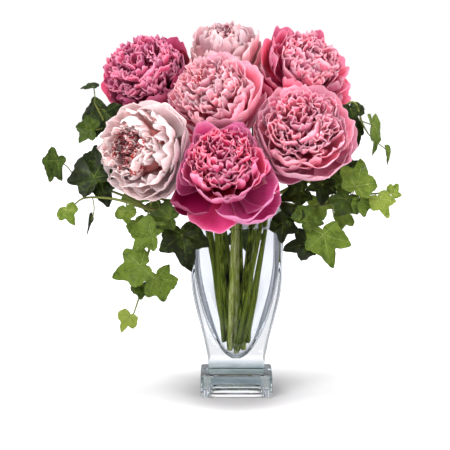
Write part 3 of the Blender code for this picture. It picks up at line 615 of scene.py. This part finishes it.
def glass_material():
    """Thick pressed glass, faintly blue and slightly wavy.  The foot's streaked green-grey tint is partly the
    colour of thick glass and partly painted light and shade of its refractions, and the neck above it has a
    band of painted shade, so it is darkest there.
    """
    g = Graph(bpy.data.materials.new("clear_glass"))
    here = g.here()
    x, y, height = g.split(here)
    waves = g.noise(here, 18.0)
    tint = g.ramp(waves, (0.3, (0.972, 0.982, 0.990, 1)), (0.7, (0.988, 0.994, 1.0, 1)))
    # Painted light and shade: green-grey streaks in the foot, partly the thick glass's own tint, that stand in
    # for its refractions
    foot = g.span(height, 0.043, 0.033) * g.span(height, 0.006, 0.020)
    streaks = g.noise(g.join(x, y, height * 5.0), 26.0, 3.0, 0.6)
    tint = g.blend(foot, tint, g.screens(streaks, (0.35, (172, 192, 189)), (0.65, (224, 238, 235))))
    # Painted shade: a dark band on the neck just above the foot
    neck = g.span(height, 0.050, 0.034) * g.span(height, 0.0271, 0.0276)
    tint = g.blend(neck, tint, (0.45, 0.48, 0.51, 1), "MULTIPLY")
    surface = g.term("BsdfPrincipled", {
        "Base Color": tint, "Roughness": g.span(waves, 0.3, 0.7, 0.0, 0.012), "IOR": 1.5,
        "Specular IOR Level": 0.1, "Transmission Weight": 1.0, "Normal": g.bump(waves, 0.10, 0.0015)})
    volume = g.term("VolumeAbsorption", {"Color": (0.74, 0.80, 0.84, 1), "Density": 3.0})
    return g.finish(surface, Volume=volume)


def water_material():
    """Clear water, faintly blue, with a still surface."""
    g = Graph(bpy.data.materials.new("water"))
    ripple = g.noise(g.here(), 30.0)
    tint = g.ramp(ripple, (0.3, (0.885, 0.900, 0.950, 1)), (0.7, (0.915, 0.930, 0.970, 1)))
    return g.finish(g.term("BsdfPrincipled", {
        "Base Color": tint, "Roughness": 0.0, "IOR": 1.333, "Specular IOR Level": 0.05,
        "Transmission Weight": 1.0, "Normal": g.bump(ripple, 0.05, 0.001)}))


def mirrored_share(g):
    """1 where the studio shows in a first reflection, and 0 elsewhere.  The floor shows its painted dark
    reflection there, which gives the foot its sparkle.
    """
    return 1.0 - g.math("MINIMUM", abs(g.term("LightPath", out="Glossy Depth") - 1.0), 1.0)


def floor_material():
    """A white floor with a soft shadow round the foot, partly cast by the lights and partly painted: its colour
    darkens near the foot, and a painted glow grows away from it.  The glass mirrors it as a painted dark
    reflection, dims its painted glow, which paints shade, and shows a painted bright spot under the foot."""
    g = Graph(bpy.data.materials.new("studio_floor"))
    here = g.here()
    x, y, _ = g.split(here)
    far = g.length(x, y)
    near = g.length(x, y * PAINTED_SHADOW_LENGTH)
    mottle = g.noise(here, 3.0)
    colour = g.ramp(mottle, (0.3, (0.69, 0.69, 0.692, 1)), (0.7, (0.71, 0.71, 0.712, 1)))
    # Painted shadow: the floor's colour darkens towards the foot
    colour = g.term("HueSaturation", {"Value": g.span(near, 0.035, 0.075, 0.76, 1.0), "Color": colour})
    # Painted glow that whitens the floor away from the foot, and so shapes the soft shadow
    painted_glow = g.span(far, 0.12, 0.30, 0.0, 0.09) + g.span(far, 0.3, 1.6, 0.0, 0.45)
    painted_glow = painted_glow + g.span(near, 0.050, 0.112, 0.0, 0.19)
    # Seen through the glass the glow is dimmed, which paints shade, and right under the foot a painted bright
    # spot is added
    through_glass = g.math("MINIMUM", g.term("LightPath", out="Transmission Depth"), 1.0)
    painted_glow = painted_glow * g.span(through_glass, 0.0, 1.0, 1.0, 0.45) + g.span(far, 0.040, 0.028, 0.0, 0.9)
    surface = g.term("BsdfPrincipled", {
        "Base Color": colour, "Roughness": 0.9, "Specular IOR Level": 0.1, "Emission Color": WHITE,
        "Emission Strength": painted_glow})
    # Painted reflection: rays that the glass mirrors first see a dark grey emission, near black in front,
    # instead of the white floor
    shade = g.blend(g.span(far, 0.15, 0.35), (0.30, 0.36, 0.365, 1), (0.34, 0.35, 0.38, 1))
    dark = g.term("Emission", {"Color": g.blend(g.span(y, -0.07, -0.16), shade, (0.03, 0.03, 0.03, 1))})
    mirrored = mirrored_share(g) * g.span(far, 0.05, 0.08)
    return g.finish(g.term("MixShader", {0: mirrored, 1: surface, 2: dark}))


# ======== vase and water
def steps(low, high, count, crowd=1.0):
    """Values from low to high in so many steps, closer together at the low end where crowd is above 1."""
    return [low + (high - low) * (k / count) ** crowd for k in range(count + 1)]


def body_half(z):
    """Half the outer width of the body at height z."""
    flare = smooth_step((z - FOOT_HEIGHT) / (SHOULDER_Z - FOOT_HEIGHT))
    lift = max(0.0, (z - SHOULDER_Z) / (RIM_Z - SHOULDER_Z))
    return NECK_HALF + (SHOULDER_HALF - NECK_HALF) * flare + (RIM_HALF - SHOULDER_HALF) * lift


def cavity_half(z):
    """Half the width of the hollow at height z: a bowl that eases into nearly upright walls."""
    share = min(1.0, max(0.0, (z - CAVITY_FLOOR) / (CAVITY_SHOULDER - CAVITY_FLOOR)))
    lift = max(0.0, (z - CAVITY_SHOULDER) / (RIM_Z - CAVITY_SHOULDER))
    bowl = (1 - (1 - share) ** BOWL_TOP) ** BOWL_FOOT
    return CAVITY_HALF * bowl + (RIM_HALF - WALL - CAVITY_HALF) * lift


def cavity_ring(z, proud=0.0):
    """The hollow is round at its foot and turns square towards the rim."""
    half = cavity_half(z) + proud
    round_share = ROUND_FOOT - SQUARED * smooth_step((z - CAVITY_FLOOR) / (SHOULDER_Z - CAVITY_FLOOR))
    return square_ring(half, round_share * half, z)


def cavity_heights(top):
    """Heights up the hollow, close together at its round foot."""
    bowl = steps(CAVITY_FLOOR + BOWL_START, CAVITY_SHOULDER, BOWL_STEPS, BOWL_CROWD)
    return bowl + steps(CAVITY_SHOULDER, top, UPRIGHT_STEPS)[1:]


def bevel_rings(half, corner, z, radius, rise):
    """The rings of a quarter-round edge, from the side to a level face on top, or under it if rise is -1."""
    rings = []
    for turn in steps(0.0, pi / 2, BEVEL_STEPS):
        inset = radius * (1 - cos(turn))
        rings.append(square_ring(half - inset, corner - inset, z - rise * radius * (1 - sin(turn))))
    return rings


def make_vase(mat):
    corner = BODY_CORNER + FOOT_BEVEL
    walls = steps(BODY_FROM, SHOULDER_Z, BODY_STEPS) + steps(SHOULDER_Z, BODY_TO, UPRIGHT_STEPS)[1:]
    rings = [
        *(square_ring(half, WELL_CORNER, z) for half, z in WELL),
        *reversed(bevel_rings(FOOT_HALF, corner, 0, FOOT_BEVEL, -1)),
        *bevel_rings(FOOT_HALF, corner, FOOT_HEIGHT, FOOT_BEVEL, 1),
        *(square_ring(NECK_HALF + out, BODY_CORNER + more, FOOT_HEIGHT + up) for out, more, up in FILLET),
        *(square_ring(body_half(z), BODY_CORNER, z) for z in walls),
        *(square_ring(RIM_HALF - inset, BODY_CORNER + more, RIM_Z - down) for inset, more, down in RIM_EDGE),
        cavity_ring(RIM_Z - RIM_STEPS[0]),
        *(cavity_ring(z) for z in reversed(cavity_heights(RIM_Z - RIM_STEPS[1]))),
    ]
    shape = Shape()
    shape.add(*loft(rings))
    make_object("glass_vase", shape, mat, GLASS_CREASE)


def make_water(mat):
    """The water fills the hollow to its level, with a thin raised edge where it clings to the glass."""
    heights = cavity_heights(WATER_LEVEL - WATER_WALL)
    rings = [np.add(cavity_ring(heights[0], WET), (0, 0, -WET)), *(cavity_ring(z, WET) for z in heights)]
    rings += [cavity_ring(WATER_LEVEL + up, reach) for up, reach in WATER_EDGE]
    shape = Shape()
    shape.add(*loft(rings))
    make_object("water", shape, mat, WATER_CREASE)


def in_vase(seat, foot_ring, foot_z, rim_ring):
    """A stem's foot and its place at the rim.  All lean the same way round, as in a hand-tied bunch, so that
    none crosses another."""
    turn = radians(seat)
    foot = (foot_ring * cos(turn - TWIST), foot_ring * sin(turn - TWIST), foot_z)
    rim = (rim_ring * cos(turn), rim_ring * sin(turn), RIM_Z)
    return np.array(foot), np.array(rim)


# ======== petals
# A kind of petal: the rows and columns of its faces, its thickness, the share of its length that is hidden,
# and how far it may roll either way.  The rest is each one value or the ends of a range: width in ball radii,
# cupping, height and number of waves, roundness of the tip, height and number of frills on the rim, depth of
# the notch, and how far the tip curls inwards
Cut = namedtuple("Cut", "rows columns thick start width cup roll ruffle waves round frill frills notch curl")
GUARD = Cut(18, 24, GUARD_THICK, 0.0, (1.42, 1.62), (0.7, 0.95), 0.12, (1.0, 2.2), 1.5, 0.30,
            (0.5, 1.5), (2.5, 5.0), (0.0, 0.12), (-4.0, 4.0))
SKIRT = GUARD._replace(width=(1.25, 1.60), cup=(0.6, 1.0), roll=0.22, ruffle=(1.6, 3.4), waves=(1.2, 2.0),
                       round=(0.22, 0.34))
CUPPED = Cut(14, 20, GUARD_THICK, 0.0, (0.80, 1.12), (0.7, 1.3), 0.36, (1.2, 2.6), (1.2, 2.4), (0.20, 0.30),
             (0.7, 1.9), (3, 6), (0.0, 0.22), (-6.0, 3.5))
INNER = Cut(12, 14, RUFFLE_THICK, 0.05, (0.75, 0.95), (0.8, 1.1), 0.35, (1.5, 3.0), 2.0, 0.22,
            (0.5, 1.2), (3, 5), (0.0, 0.12), 0.0)
RUFFLED = Cut(9, 12, RUFFLE_THICK, 0.25, (0.36, 0.62), (0.6, 1.5), 0.75, (1.4, 3.6), (1.0, 2.2), (0.12, 0.28),
              (0.8, 2.2), (1.8, 3.6), (0.0, 0.30), 0.0)
# A whorl of guards: its kind of petal, the share of a step that it is turned on, the ranges of the petals'
# lean in degrees and of their reach, how far each may turn, how low the roots lie in ball radii, how far out
# and up the bellies lie in reaches and ball radii, and how much lower than that in millimetres
Whorl = namedtuple("Whorl", "cut shift lean reach sway root out up sink")
OUTER = Whorl(GUARD, 0.0, (80, 104), (0.92, 1.0), 0.15, -0.62, 0.80, -0.78, 4.0)
SECOND = Whorl(SKIRT, 0.5, (72, 96), (0.84, 0.95), 0.20, -0.60, 0.84, -0.66, 0.0)  # over the outer one's gaps
Petal = namedtuple("Petal", "cut turn root belly tip width cup roll ruffle waves phase round")


def drawn(draw, ends):
    """A value drawn from a range, or the one value itself."""
    return draw.uniform(*ends) if isinstance(ends, tuple) else ends


def cut_petal(draw, cut, turn, root, belly, tip, width, ruffle=0.0):
    """A petal of this kind, with its width multiplied by width, and waves that are ruffle higher."""
    return Petal(
        cut, turn, root, belly, tip, width=drawn(draw, cut.width) * width, cup=drawn(draw, cut.cup),
        roll=draw.uniform(-cut.roll, cut.roll), ruffle=drawn(draw, cut.ruffle) + ruffle,
        waves=drawn(draw, cut.waves), phase=draw.uniform(0, 6.28), round=drawn(draw, cut.round))


def arm(lean, out, up):
    """The place at this lean from the bloom's axis: out from it, and up along it."""
    return out * sin(lean), up * cos(lean)


def turned(out, side, up, turn):
    """Points so far out from an axis, to the side and up it, turned round it."""
    return np.stack([out * cos(turn) - side * sin(turn),
                     out * sin(turn) + side * cos(turn), up], axis=-1)


def bend(t, a, b, c):
    """The curve from a to c that b pulls on, and half its slope."""
    return (1 - t) ** 2 * a + 2 * t * (1 - t) * b + t ** 2 * c, (1 - t) * (b - a) + t * (c - b)


def petal_surface(petal, u, v, frill, frills, notch, curl):
    """A petal's middle surface in its bloom's own frame: u runs from root to tip, and v from -1 to 1 across.
    frill waves the rim, notch parts the tip, and curl bends it inwards."""
    reach = u * (1 - petal.round * v ** 2 - notch * np.exp(-(v / NOTCH_WIDTH) ** 2) * u ** 2)
    (out, d_out), (up, d_up) = (bend(reach, *ends) for ends in zip(petal.root, petal.belly, petal.tip))
    length = np.hypot(d_out, d_up)
    half = petal.width / 2 * (ROOT_WIDTH + (1 - ROOT_WIDTH) * smooth_step(reach / WIDEST))
    side = half / petal.cup * np.sin(v * petal.cup)
    lift = half / petal.cup * (1 - np.cos(v * petal.cup))
    lift = lift + petal.ruffle * reach ** 2 * np.sin(petal.waves * pi * v + petal.phase)
    lift = lift + frill * u ** 7 * np.sin(frills * pi * v + 2.3 * petal.phase) + curl * u ** 5
    side, lift = (side * cos(petal.roll) - lift * sin(petal.roll),
                  side * sin(petal.roll) + lift * cos(petal.roll))
    return turned(out - d_up / length * lift, side, up + d_out / length * lift, petal.turn)


def guards_of(bloom, draw, whorl):
    """An even whorl of guard petals."""
    for k in range(bloom.guards):
        lean = radians(draw.uniform(*whorl.lean))
        size = bloom.reach * draw.uniform(*whorl.reach)
        turn = (k + whorl.shift) * 2 * pi / bloom.guards + draw.uniform(-whorl.sway, whorl.sway)
        yield cut_petal(draw, whorl.cut, turn, (ROOT_OUT, whorl.root * bloom.ball),
                        (whorl.out * size, whorl.up * bloom.ball - whorl.sink), arm(lean, size, size),
                        bloom.ball)


def inner_of(bloom, draw):
    """The frame's own inner petals, in a golden-angle spiral."""
    ball = bloom.ball
    for k in range(bloom.inner):
        lean = acos(1 - 1.15 * (1 - (k + 0.5) / bloom.inner)) + draw.uniform(-0.08, 0.08)
        size = ball * draw.uniform(0.92, 1.04)
        belly = lean + draw.uniform(0.30, 0.55)
        turn = k * GOLDEN + draw.uniform(-0.2, 0.2)
        yield cut_petal(draw, INNER, turn, (0.18 * ball * sin(lean), -0.30 * ball),
                        arm(belly, 0.88 * ball, 0.80 * ball), arm(lean, size, size), ball)


def cupped_of(bloom, style, draw):
    """Three whorls of broad petals that cup the heart, from just inside the guards inwards."""
    ball = bloom.ball
    outer = 0.30 * bloom.reach + 0.70 * ball
    for whorl in range(CUPPED_WHORLS):
        share = whorl / (CUPPED_WHORLS - 1)
        for k in range(style.cupped):
            lean = radians(style.outer + (style.heart + 2 - style.outer) * share + draw.uniform(-9, 9))
            size = (outer + (ball - outer) * share) * draw.uniform(0.90, 1.08)
            belly = lean + draw.uniform(0.55, 0.85)
            turn = (k + 0.5 * whorl) * 2 * pi / style.cupped + draw.uniform(-0.35, 0.35)
            yield cut_petal(draw, CUPPED, turn, (0.08 * ball, (0.10 * share - 0.55) * ball),
                            arm(belly, 1.08 * ball, 1.08 * ball), arm(lean, size, size),
                            (1.20 - 0.50 * share) * ball, 1.6 * share)


def ruffles_of(bloom, style, draw):
    """The heart's ruffled petals in a golden-angle spiral, each with its lean in degrees."""
    ball = bloom.ball
    for k in range(style.ruffles):
        share = (k + 0.5) / style.ruffles
        lean = acos(1 - (1 - cos(radians(style.heart))) * share) + draw.uniform(-0.08, 0.08)
        size = ball * draw.uniform(0.86, 1.08)
        belly = lean + draw.uniform(0.10, 0.60) * min(1.0, 0.1 + 4 * share)
        turn = k * GOLDEN + draw.uniform(-0.25, 0.25)
        yield degrees(lean), cut_petal(
            draw, RUFFLED, turn, (0.22 * ball * sin(lean), -0.2 * ball * share),
            arm(belly, 0.84 * ball, 0.76 * ball), arm(lean, size, size), (0.70 + 0.30 * share) * ball)


def borders_of(bloom):
    """The planes that a bloom's petals keep inside of: normals, and distances from its middle."""
    borders = []
    for other in (b for b in BLOOMS if b is not bloom):
        away = np.subtract(other.middle, bloom.middle)
        distance = np.linalg.norm(away)
        share = (distance ** 2 + bloom.ball ** 2 - other.ball ** 2) / (2 * distance ** 2)
        borders.append((away / distance, distance * share - CROWD_GAP))
    if bloom is BLOOMS[0]:
        borders.append((np.array(VASE_SIDE), VASE_SIDE_REACH))
    return borders


def crowded(points, bloom):
    """Petals near a neighbouring bloom give way smoothly, and never reach the border."""
    for normal, limit in borders_of(bloom):
        past = (points - bloom.middle) @ normal - (limit - CROWD_BAND)
        give = np.where(past > 0, past - CROWD_BAND * (1 - np.exp(-np.maximum(past, 0) / CROWD_BAND)), 0.0)
        points = points - give[..., None] * normal
    return points


def placed(local, bloom):
    """Points of the bloom's own frame, in the object's frame."""
    return local @ frame_of(direction(bloom.azimuth, bloom.elevation)) + bloom.middle


def sheet(rows, columns, start=0.0):
    """The share along and the place across, from -1 to 1, of each point of a blade."""
    return np.meshgrid(np.linspace(start, 1, rows + 1), np.linspace(-1, 1, columns + 1), indexing="ij")


def add_blade(shape, grid, thickness, u, v, tint, kind):
    """A closed blade whose marks are its own u and v, and a tint."""
    marks = np.stack([u, v, np.full_like(u, tint)], axis=-1).reshape(-1, 3)
    shape.add(*blade(grid, thickness), np.concatenate([marks, marks]), kind)


def add_petal(shape, petal, bloom, draw, tint, kind, curl=0.0):
    cut = petal.cut
    u, v = sheet(cut.rows, cut.columns, cut.start)
    frill, frills, notch = (drawn(draw, ends) for ends in (cut.frill, cut.frills, cut.notch))
    surface = petal_surface(petal, u, v, frill, frills, notch, curl + drawn(draw, cut.curl))
    add_blade(shape, crowded(placed(surface, bloom), bloom), cut.thick, u, v, tint, kind)


def make_bloom(bloom, style):
    """A small core, the guards, the cupped petals, and the ruffled ones that crowd the ball.  The petals of
    each kind are all drawn before the first of them is added."""
    shape = Shape()
    draw = random.Random(bloom.name)
    guards, inner = list(guards_of(bloom, draw, OUTER)), list(inner_of(bloom, draw))
    guards += guards_of(bloom, draw, SECOND)
    ball = bloom.ball
    profile = [(RECEPTACLE_RADIUS, -BASE_DEPTH * ball), *((r * ball, z * ball) for r, z in CORE)]
    turns = [2 * pi * k / CORE_SIDES for k in range(CORE_SIDES)]
    points, faces = loft([[(r * cos(t), r * sin(t), z) for t in turns] for r, z in profile])
    # the dark core, painted shade in the gaps of the heart
    shape.add(crowded(placed(np.array(points), bloom), bloom), faces, CORE_MARKS, 1)
    for k, petal in enumerate(guards):
        # the guards that lie in the bloom's shade get a tint below 0, which paints shade on them
        tint = draw.random() - (PAINTED_SHADE_DROP if k in PAINTED_SHADE_GUARDS.get(bloom.name, ()) else 0.0)
        add_petal(shape, petal, bloom, draw, tint, 0, style.curl)
    for petal in list(cupped_of(bloom, style, draw)):
        add_petal(shape, petal, bloom, draw, draw.random(), draw.uniform(0.0, 0.7))
    for petal in inner:
        add_petal(shape, petal, bloom, draw, draw.random(), 1)
    for lean, petal in list(ruffles_of(bloom, style, draw)):
        add_petal(shape, petal, bloom, draw, draw.random(), 2 if lean < style.flecked else 1)
    looks = petal_material(bloom.name, style)
    make_object(bloom.name, shape, looks, PETAL_CREASE)


# ======== stems
SEPALS, SEPAL_LENGTH, SEPAL_HALF = 5, 20.0, 7.5
# The calyx: how far below the bloom each ring lies, and its radius
CALYX = [(9.0, STEM_RADIUS + 0.4), (6.5, STEM_RADIUS + 0.9), (4.5, 5.2), (3.0, 6.6), (1.6, 7.6),
         (0.0, RECEPTACLE_RADIUS)]


def stem_seats():
    """Each bloom's place round the vase's mouth, in the order in which they stand round the middle one, which
    goes straight down."""
    middle = next(b for b in BLOOMS if b.name == "peony_middle_light_pink")
    ring = sorted((b for b in BLOOMS if b is not middle),
                  key=lambda b: atan2(b.middle[1], b.middle[0]))
    return {middle.name: None, **{b.name: FIRST_SEAT + SEAT_STEP * k for k, b in enumerate(ring)}}


def stem_run(bloom, seat):
    """Foot, and the path from the rim to just under the bloom's receptacle."""
    if seat is None:
        foot, rim = np.array([0.0, 0.0, CENTRE_FOOT_Z]), np.array([0.0, 0.0, RIM_Z])
    else:
        foot, rim = in_vase(seat, STEM_FOOT_RING, STEM_FOOT_Z, STEM_RIM_RING)
    facing = direction(bloom.azimuth, bloom.elevation)
    top = bloom.middle - facing * (BASE_DEPTH * bloom.ball + GAP)
    span = np.linalg.norm(top - rim)
    rise, bend = rim + unit(rim - foot) * span * STEM_RISE, top - facing * span * STEM_BEND
    return foot, bezier(rim, rise, bend, top, PATH_STEPS * FINE)


def straight(foot, rim, count):
    """Points up the vase, from the foot to just short of the rim."""
    return [foot + (rim - foot) * k / count for k in range(count)]


def add_run(shape, path, radii, sides, tint):
    """A tube whose marks tell the way along it in centimetres and the way round."""
    points, faces = tube(path, radii, sides)
    far = np.concatenate([[0], np.cumsum(np.linalg.norm(np.diff(np.asarray(path), axis=0), axis=1))]) / 10
    round_it = np.abs(np.linspace(-1, 1, sides, endpoint=False))
    marks = [np.repeat(far, sides), np.tile(round_it, len(path)), np.full(len(points), tint)]
    shape.add(points, faces, np.stack(marks, axis=-1), 0)


def add_stem_leaf(shape, root, azimuth, elevation, length, tint):
    """A pointed blade that arches away from the stem, folded a little along its midrib."""
    across, rise, forward = frame_of(direction(azimuth, elevation))
    u, v = sheet(18, 10)
    half = length * STEM_LEAF_WIDTH / 2 * (0.10 + 0.90 * np.sin(pi * np.minimum(u, 0.985) ** 0.8))
    lift = length * (0.10 * u - 0.34 * u ** 2) + 0.18 * half * np.abs(v)
    lift = lift + 0.012 * length * np.sin(9 * u + 2 * v) * np.abs(v)
    grid = root + (u * length)[..., None] * forward + (half * v)[..., None] * across + lift[..., None] * rise
    add_blade(shape, grid, LEAF_THICK, u, v, tint, 1)


def add_sepals(shape, bloom, draw):
    """Short green sepals under the guard petals."""
    for k in range(SEPALS):
        u, v = sheet(8, 6)
        out = RECEPTACLE_RADIUS - 3.0 + SEPAL_LENGTH * u * (1 - 0.12 * v ** 2)
        up = -BASE_DEPTH * bloom.ball - 1.6 - 3.4 * np.sin(1.6 * u) + 1.2 * u ** 2 + 0.8 * v ** 2
        half = SEPAL_HALF * np.sin(pi * (0.16 + 0.80 * u)) ** 0.8
        local = turned(out, half * v, up, 2 * pi * k / SEPALS + draw.uniform(-0.15, 0.15))
        add_blade(shape, placed(local, bloom), SEPAL_THICK, u, v, draw.uniform(0.5, 0.9), 1)


def make_stem(bloom, seat, mat):
    """A green stem whose top swells into the calyx, with its own leaves and the bloom's sepals."""
    shape = Shape()
    draw = random.Random("stem " + bloom.name)
    foot, path = stem_run(bloom, seat)
    facing = direction(bloom.azimuth, bloom.elevation)
    plain = [*straight(foot, path[0], STEM_STEPS), *path[:-2]]
    whole = plain + [path[-1] - facing * below for below, _ in CALYX]
    radii = [STEM_RADIUS * draw.uniform(0.96, 1.04) for _ in plain] + [radius for _, radius in CALYX]
    add_run(shape, whole, radii, STEM_SIDES, draw.random())
    for share, azimuth, elevation, length in STEM_LEAVES[bloom.name]:
        root = path[round(share * PATH_STEPS) * FINE]
        add_stem_leaf(shape, root, azimuth, elevation, length, draw.uniform(0.15, 0.75))
    add_sepals(shape, bloom, draw)
    name = bloom.name.replace("peony", "stem")
    make_object(name, shape, mat, STEM_CREASE)


# ======== ivy
def leaf_frame(leaf):
    """Unit vectors across the blade, towards its tip, and out of its upper face."""
    normal = direction(leaf.turn - 90, leaf.nod)
    level, rise, _ = frame_of(normal)
    if abs(leaf.turn) > 90:
        level, rise = -level, rise
    tip = radians(leaf.tip)
    toward = cos(tip) * level + sin(tip) * rise
    return np.cross(toward, normal), toward, normal


def ivy_corners(leaf):
    """Lobes and notches round the point where the stalk joins: degrees from the tip, and length.  There are
    five lobes, or three on a young leaf, and no two leaves are quite alike."""
    half = YOUNG_IVY_CORNERS if leaf.size < YOUNG_SIZE else IVY_CORNERS
    corners = [(-a, r) for a, r in reversed(half[1:])] + half
    own = leaf.x + 2 * leaf.y + 3 * leaf.z
    return [(a + LOBE_TURN * sin(own + 1.7 * k), r * (1 + LOBE_STRETCH * sin(own + 2.3 * k)))
            for k, (a, r) in enumerate(corners)]


def ivy_radius(turns, leaf):
    """The blade's reach at each angle from the tip: pointed lobes with slightly hollow sides."""
    corners = [(-180, STALK_NOTCH), *ivy_corners(leaf), (180, STALK_NOTCH)]
    reach = np.zeros_like(turns)
    for (a0, r0), (a1, r1) in zip(corners, corners[1:]):
        t = np.clip((turns - a0) / (a1 - a0), 0, 1)
        t = t if r1 > r0 else 1 - t
        inside = (turns >= a0) & (turns <= a1)
        reach = np.where(inside, min(r0, r1) + abs(r1 - r0) * t ** LOBE_HOLLOW, reach)
    waves = 0.035 * np.sin(np.radians(9 * turns) + leaf.x) + 0.020 * np.sin(np.radians(22 * turns) + leaf.z)
    return reach * (1 + waves)


def leaf_surface(leaf, x, y):
    """The blade's middle surface, x across and y towards the tip from its stalk, and the way it faces."""
    across, toward, normal = leaf_frame(leaf)
    base = (leaf.x, leaf.y, leaf.z) - toward * STALK_AT * leaf.size
    angle, radius = np.abs(np.arctan2(x, y)), np.hypot(x, y)
    off_vein = np.min([np.abs(angle - radians(a)) for a in VEIN_ANGLES], axis=0)
    crease = radius * np.sin(np.minimum(off_vein, 0.6))
    rise = LEAF_FOLD * np.abs(x) - LEAF_DROOP * radius ** 2 / leaf.size
    rise += VEIN_CREASE * crease * (1 - 0.5 * radius / leaf.size)
    rise += WAVE * leaf.size * np.sin(5.0 * x / leaf.size + leaf.x) * np.sin(4.0 * y / leaf.size + leaf.z)
    rise += RIPPLE * leaf.size * np.sin(15.0 * x / leaf.size + leaf.z) * np.sin(13.0 * y / leaf.size + leaf.x)
    return base + x[..., None] * across + y[..., None] * toward + rise[..., None] * normal, normal


def add_ivy_leaf(shape, leaf, tone):
    """A closed blade in rings round the stalk, with three or five lobes."""
    scale = leaf.size * BLADE_SHARE
    turns = np.linspace(-180, 180, LEAF_ANGLES, endpoint=False)
    reach = ivy_radius(turns, leaf)
    rings = np.linspace(0, 1, LEAF_RINGS + 1)[1:]
    x = np.concatenate([[0.0], np.outer(rings, reach * np.sin(np.radians(turns))).ravel()])
    y = np.concatenate([[0.0], np.outer(rings, reach * np.cos(np.radians(turns))).ravel()])
    middle, normal = leaf_surface(leaf, x * scale, y * scale)
    half = np.full((len(middle), 1), LEAF_THICK / 2)
    half[-LEAF_ANGLES:] *= IVY_RIM_SHARE
    faces = []
    for i in range(LEAF_ANGLES):
        j = (i + 1) % LEAF_ANGLES
        faces.append((0, 1 + j, 1 + i))
        for ring in range(LEAF_RINGS - 1):
            a, b = 1 + ring * LEAF_ANGLES, 1 + (ring + 1) * LEAF_ANGLES
            faces.append((a + i, a + j, b + j, b + i))
    rim = list(range(len(middle) - LEAF_ANGLES, len(middle)))
    marks = np.stack([x, y, np.full_like(x, tone)], axis=-1)
    shape.add(*shell(middle, normal, half, faces, rim), np.concatenate([marks, marks]), 1)


def add_petiole(shape, leaf, path, tint):
    """The leaf stalk, from the nearest point of the vine to a little way into the blade."""
    ends, normal = leaf_surface(leaf, np.array([0.0]), np.array([0.0]))
    _, toward, _ = leaf_frame(leaf)
    join = ends[0]
    end = join + toward * 0.05 * leaf.size
    path = np.asarray(path)
    start = path[np.argmin(np.linalg.norm(path - (join - toward * 0.2 * leaf.size), axis=1))]
    bend = (start + join) / 2 - normal * 2.0 - toward * 1.0
    stalk = smooth_path([start, bend, join, end], PETIOLE_STEPS)
    add_run(shape, stalk, [PETIOLE_RADIUS] * len(stalk), PETIOLE_SIDES, tint)


def make_vine(vine, mat):
    shape = Shape()
    draw = random.Random(vine.name)
    foot, rim = in_vase(vine.seat, VINE_FOOT_RING, VINE_FOOT_Z, VINE_RIM_RING)
    path = smooth_path([rim, rim + unit(rim - foot) * VINE_RISE, *vine.route], ROUTE_STEPS)
    radii = [VINE_RADIUS] * VINE_STEPS + list(np.linspace(VINE_RADIUS, VINE_TIP_RADIUS, len(path)))
    add_run(shape, [*straight(foot, rim, VINE_STEPS), *path], radii, VINE_SIDES, draw.random())
    for leaf, tone in zip(map(Leaf._make, vine.leaves), LEAF_TONES[vine.name]):
        add_ivy_leaf(shape, leaf, TONES[tone] + draw.uniform(-0.06, 0.06))
        add_petiole(shape, leaf, path, draw.random())
    make_object(vine.name, shape, mat, IVY_CREASE)


# ======== view and light
def make_camera():
    camera = bpy.data.cameras.new("camera")
    camera.lens, camera.sensor_width = LENS, SENSOR
    obj = put("camera", camera)
    tilt = radians(VIEW_ELEVATION)
    back = Vector((0.0, -cos(tilt), sin(tilt))) * VIEW_DISTANCE
    obj.location = (Vector(VIEW_MIDDLE) + back) * MM
    obj.rotation_euler = (pi / 2 - tilt, 0, 0)
    bpy.context.scene.camera = obj


def make_lights():
    for name, (place, size, power) in LIGHTS.items():
        light = bpy.data.lights.new(name, "AREA")
        light.size, light.energy = size, power
        obj = put(name, light)
        obj.location = place
        obj.rotation_euler = (Vector(VIEW_MIDDLE) * MM - Vector(place)).to_track_quat("-Z", "Y").to_euler()


def make_world():
    """A white studio, whose soft dark screens draw the edges of the glass.  The camera sees it plain."""
    world = bpy.data.worlds.new("studio")
    bpy.context.scene.world = world
    g = Graph(world)
    x, y, z = g.split(g.term("TexCoord", out="Generated"))
    screens = abs(g.math("SINE", g.math("ARCTAN2", y, x) * (WORLD_SCREENS / 2))) ** 1.5
    low = g.span(z, -0.35, -0.10) * g.span(z, 0.75, 0.45)
    level = WORLD_LIGHT - screens * low * WORLD_DARK
    tint = g.join(level, level, level * 1.02)
    tint = g.blend(mirrored_share(g), tint, g.blend(1.0, tint, MIRRORED, "MULTIPLY"))
    studio = g.term("Background", {"Color": tint, "Strength": 1.0})
    plain = g.term("Background", {"Color": WHITE, "Strength": 1.0})
    camera = g.term("LightPath", out="Is Camera Ray")
    g.node("OutputWorld", {"Surface": g.term("MixShader", {0: camera, 1: studio, 2: plain})})


def make_floor():
    mesh = bpy.data.meshes.new("floor")
    corners = [(-1, -1), (1, -1), (1, 1), (-1, 1)]
    mesh.from_pydata([(x * FLOOR_HALF, y * FLOOR_HALF, FLOOR_Z) for x, y in corners], [], [(0, 1, 2, 3)])
    mesh.materials.append(floor_material())
    put("floor", mesh)


def main():
    bpy.context.scene.view_settings.view_transform = "Standard"
    make_camera()
    make_world()
    make_floor()
    make_lights()
    make_vase(glass_material())
    make_water(water_material())
    seats = stem_seats()
    green = stem_material()
    for bloom, style in zip(BLOOMS, STYLES):
        make_bloom(bloom, style)
        make_stem(bloom, seats[bloom.name], green)
    ivy = ivy_material()
    for vine in VINES:
        make_vine(vine, ivy)


main()
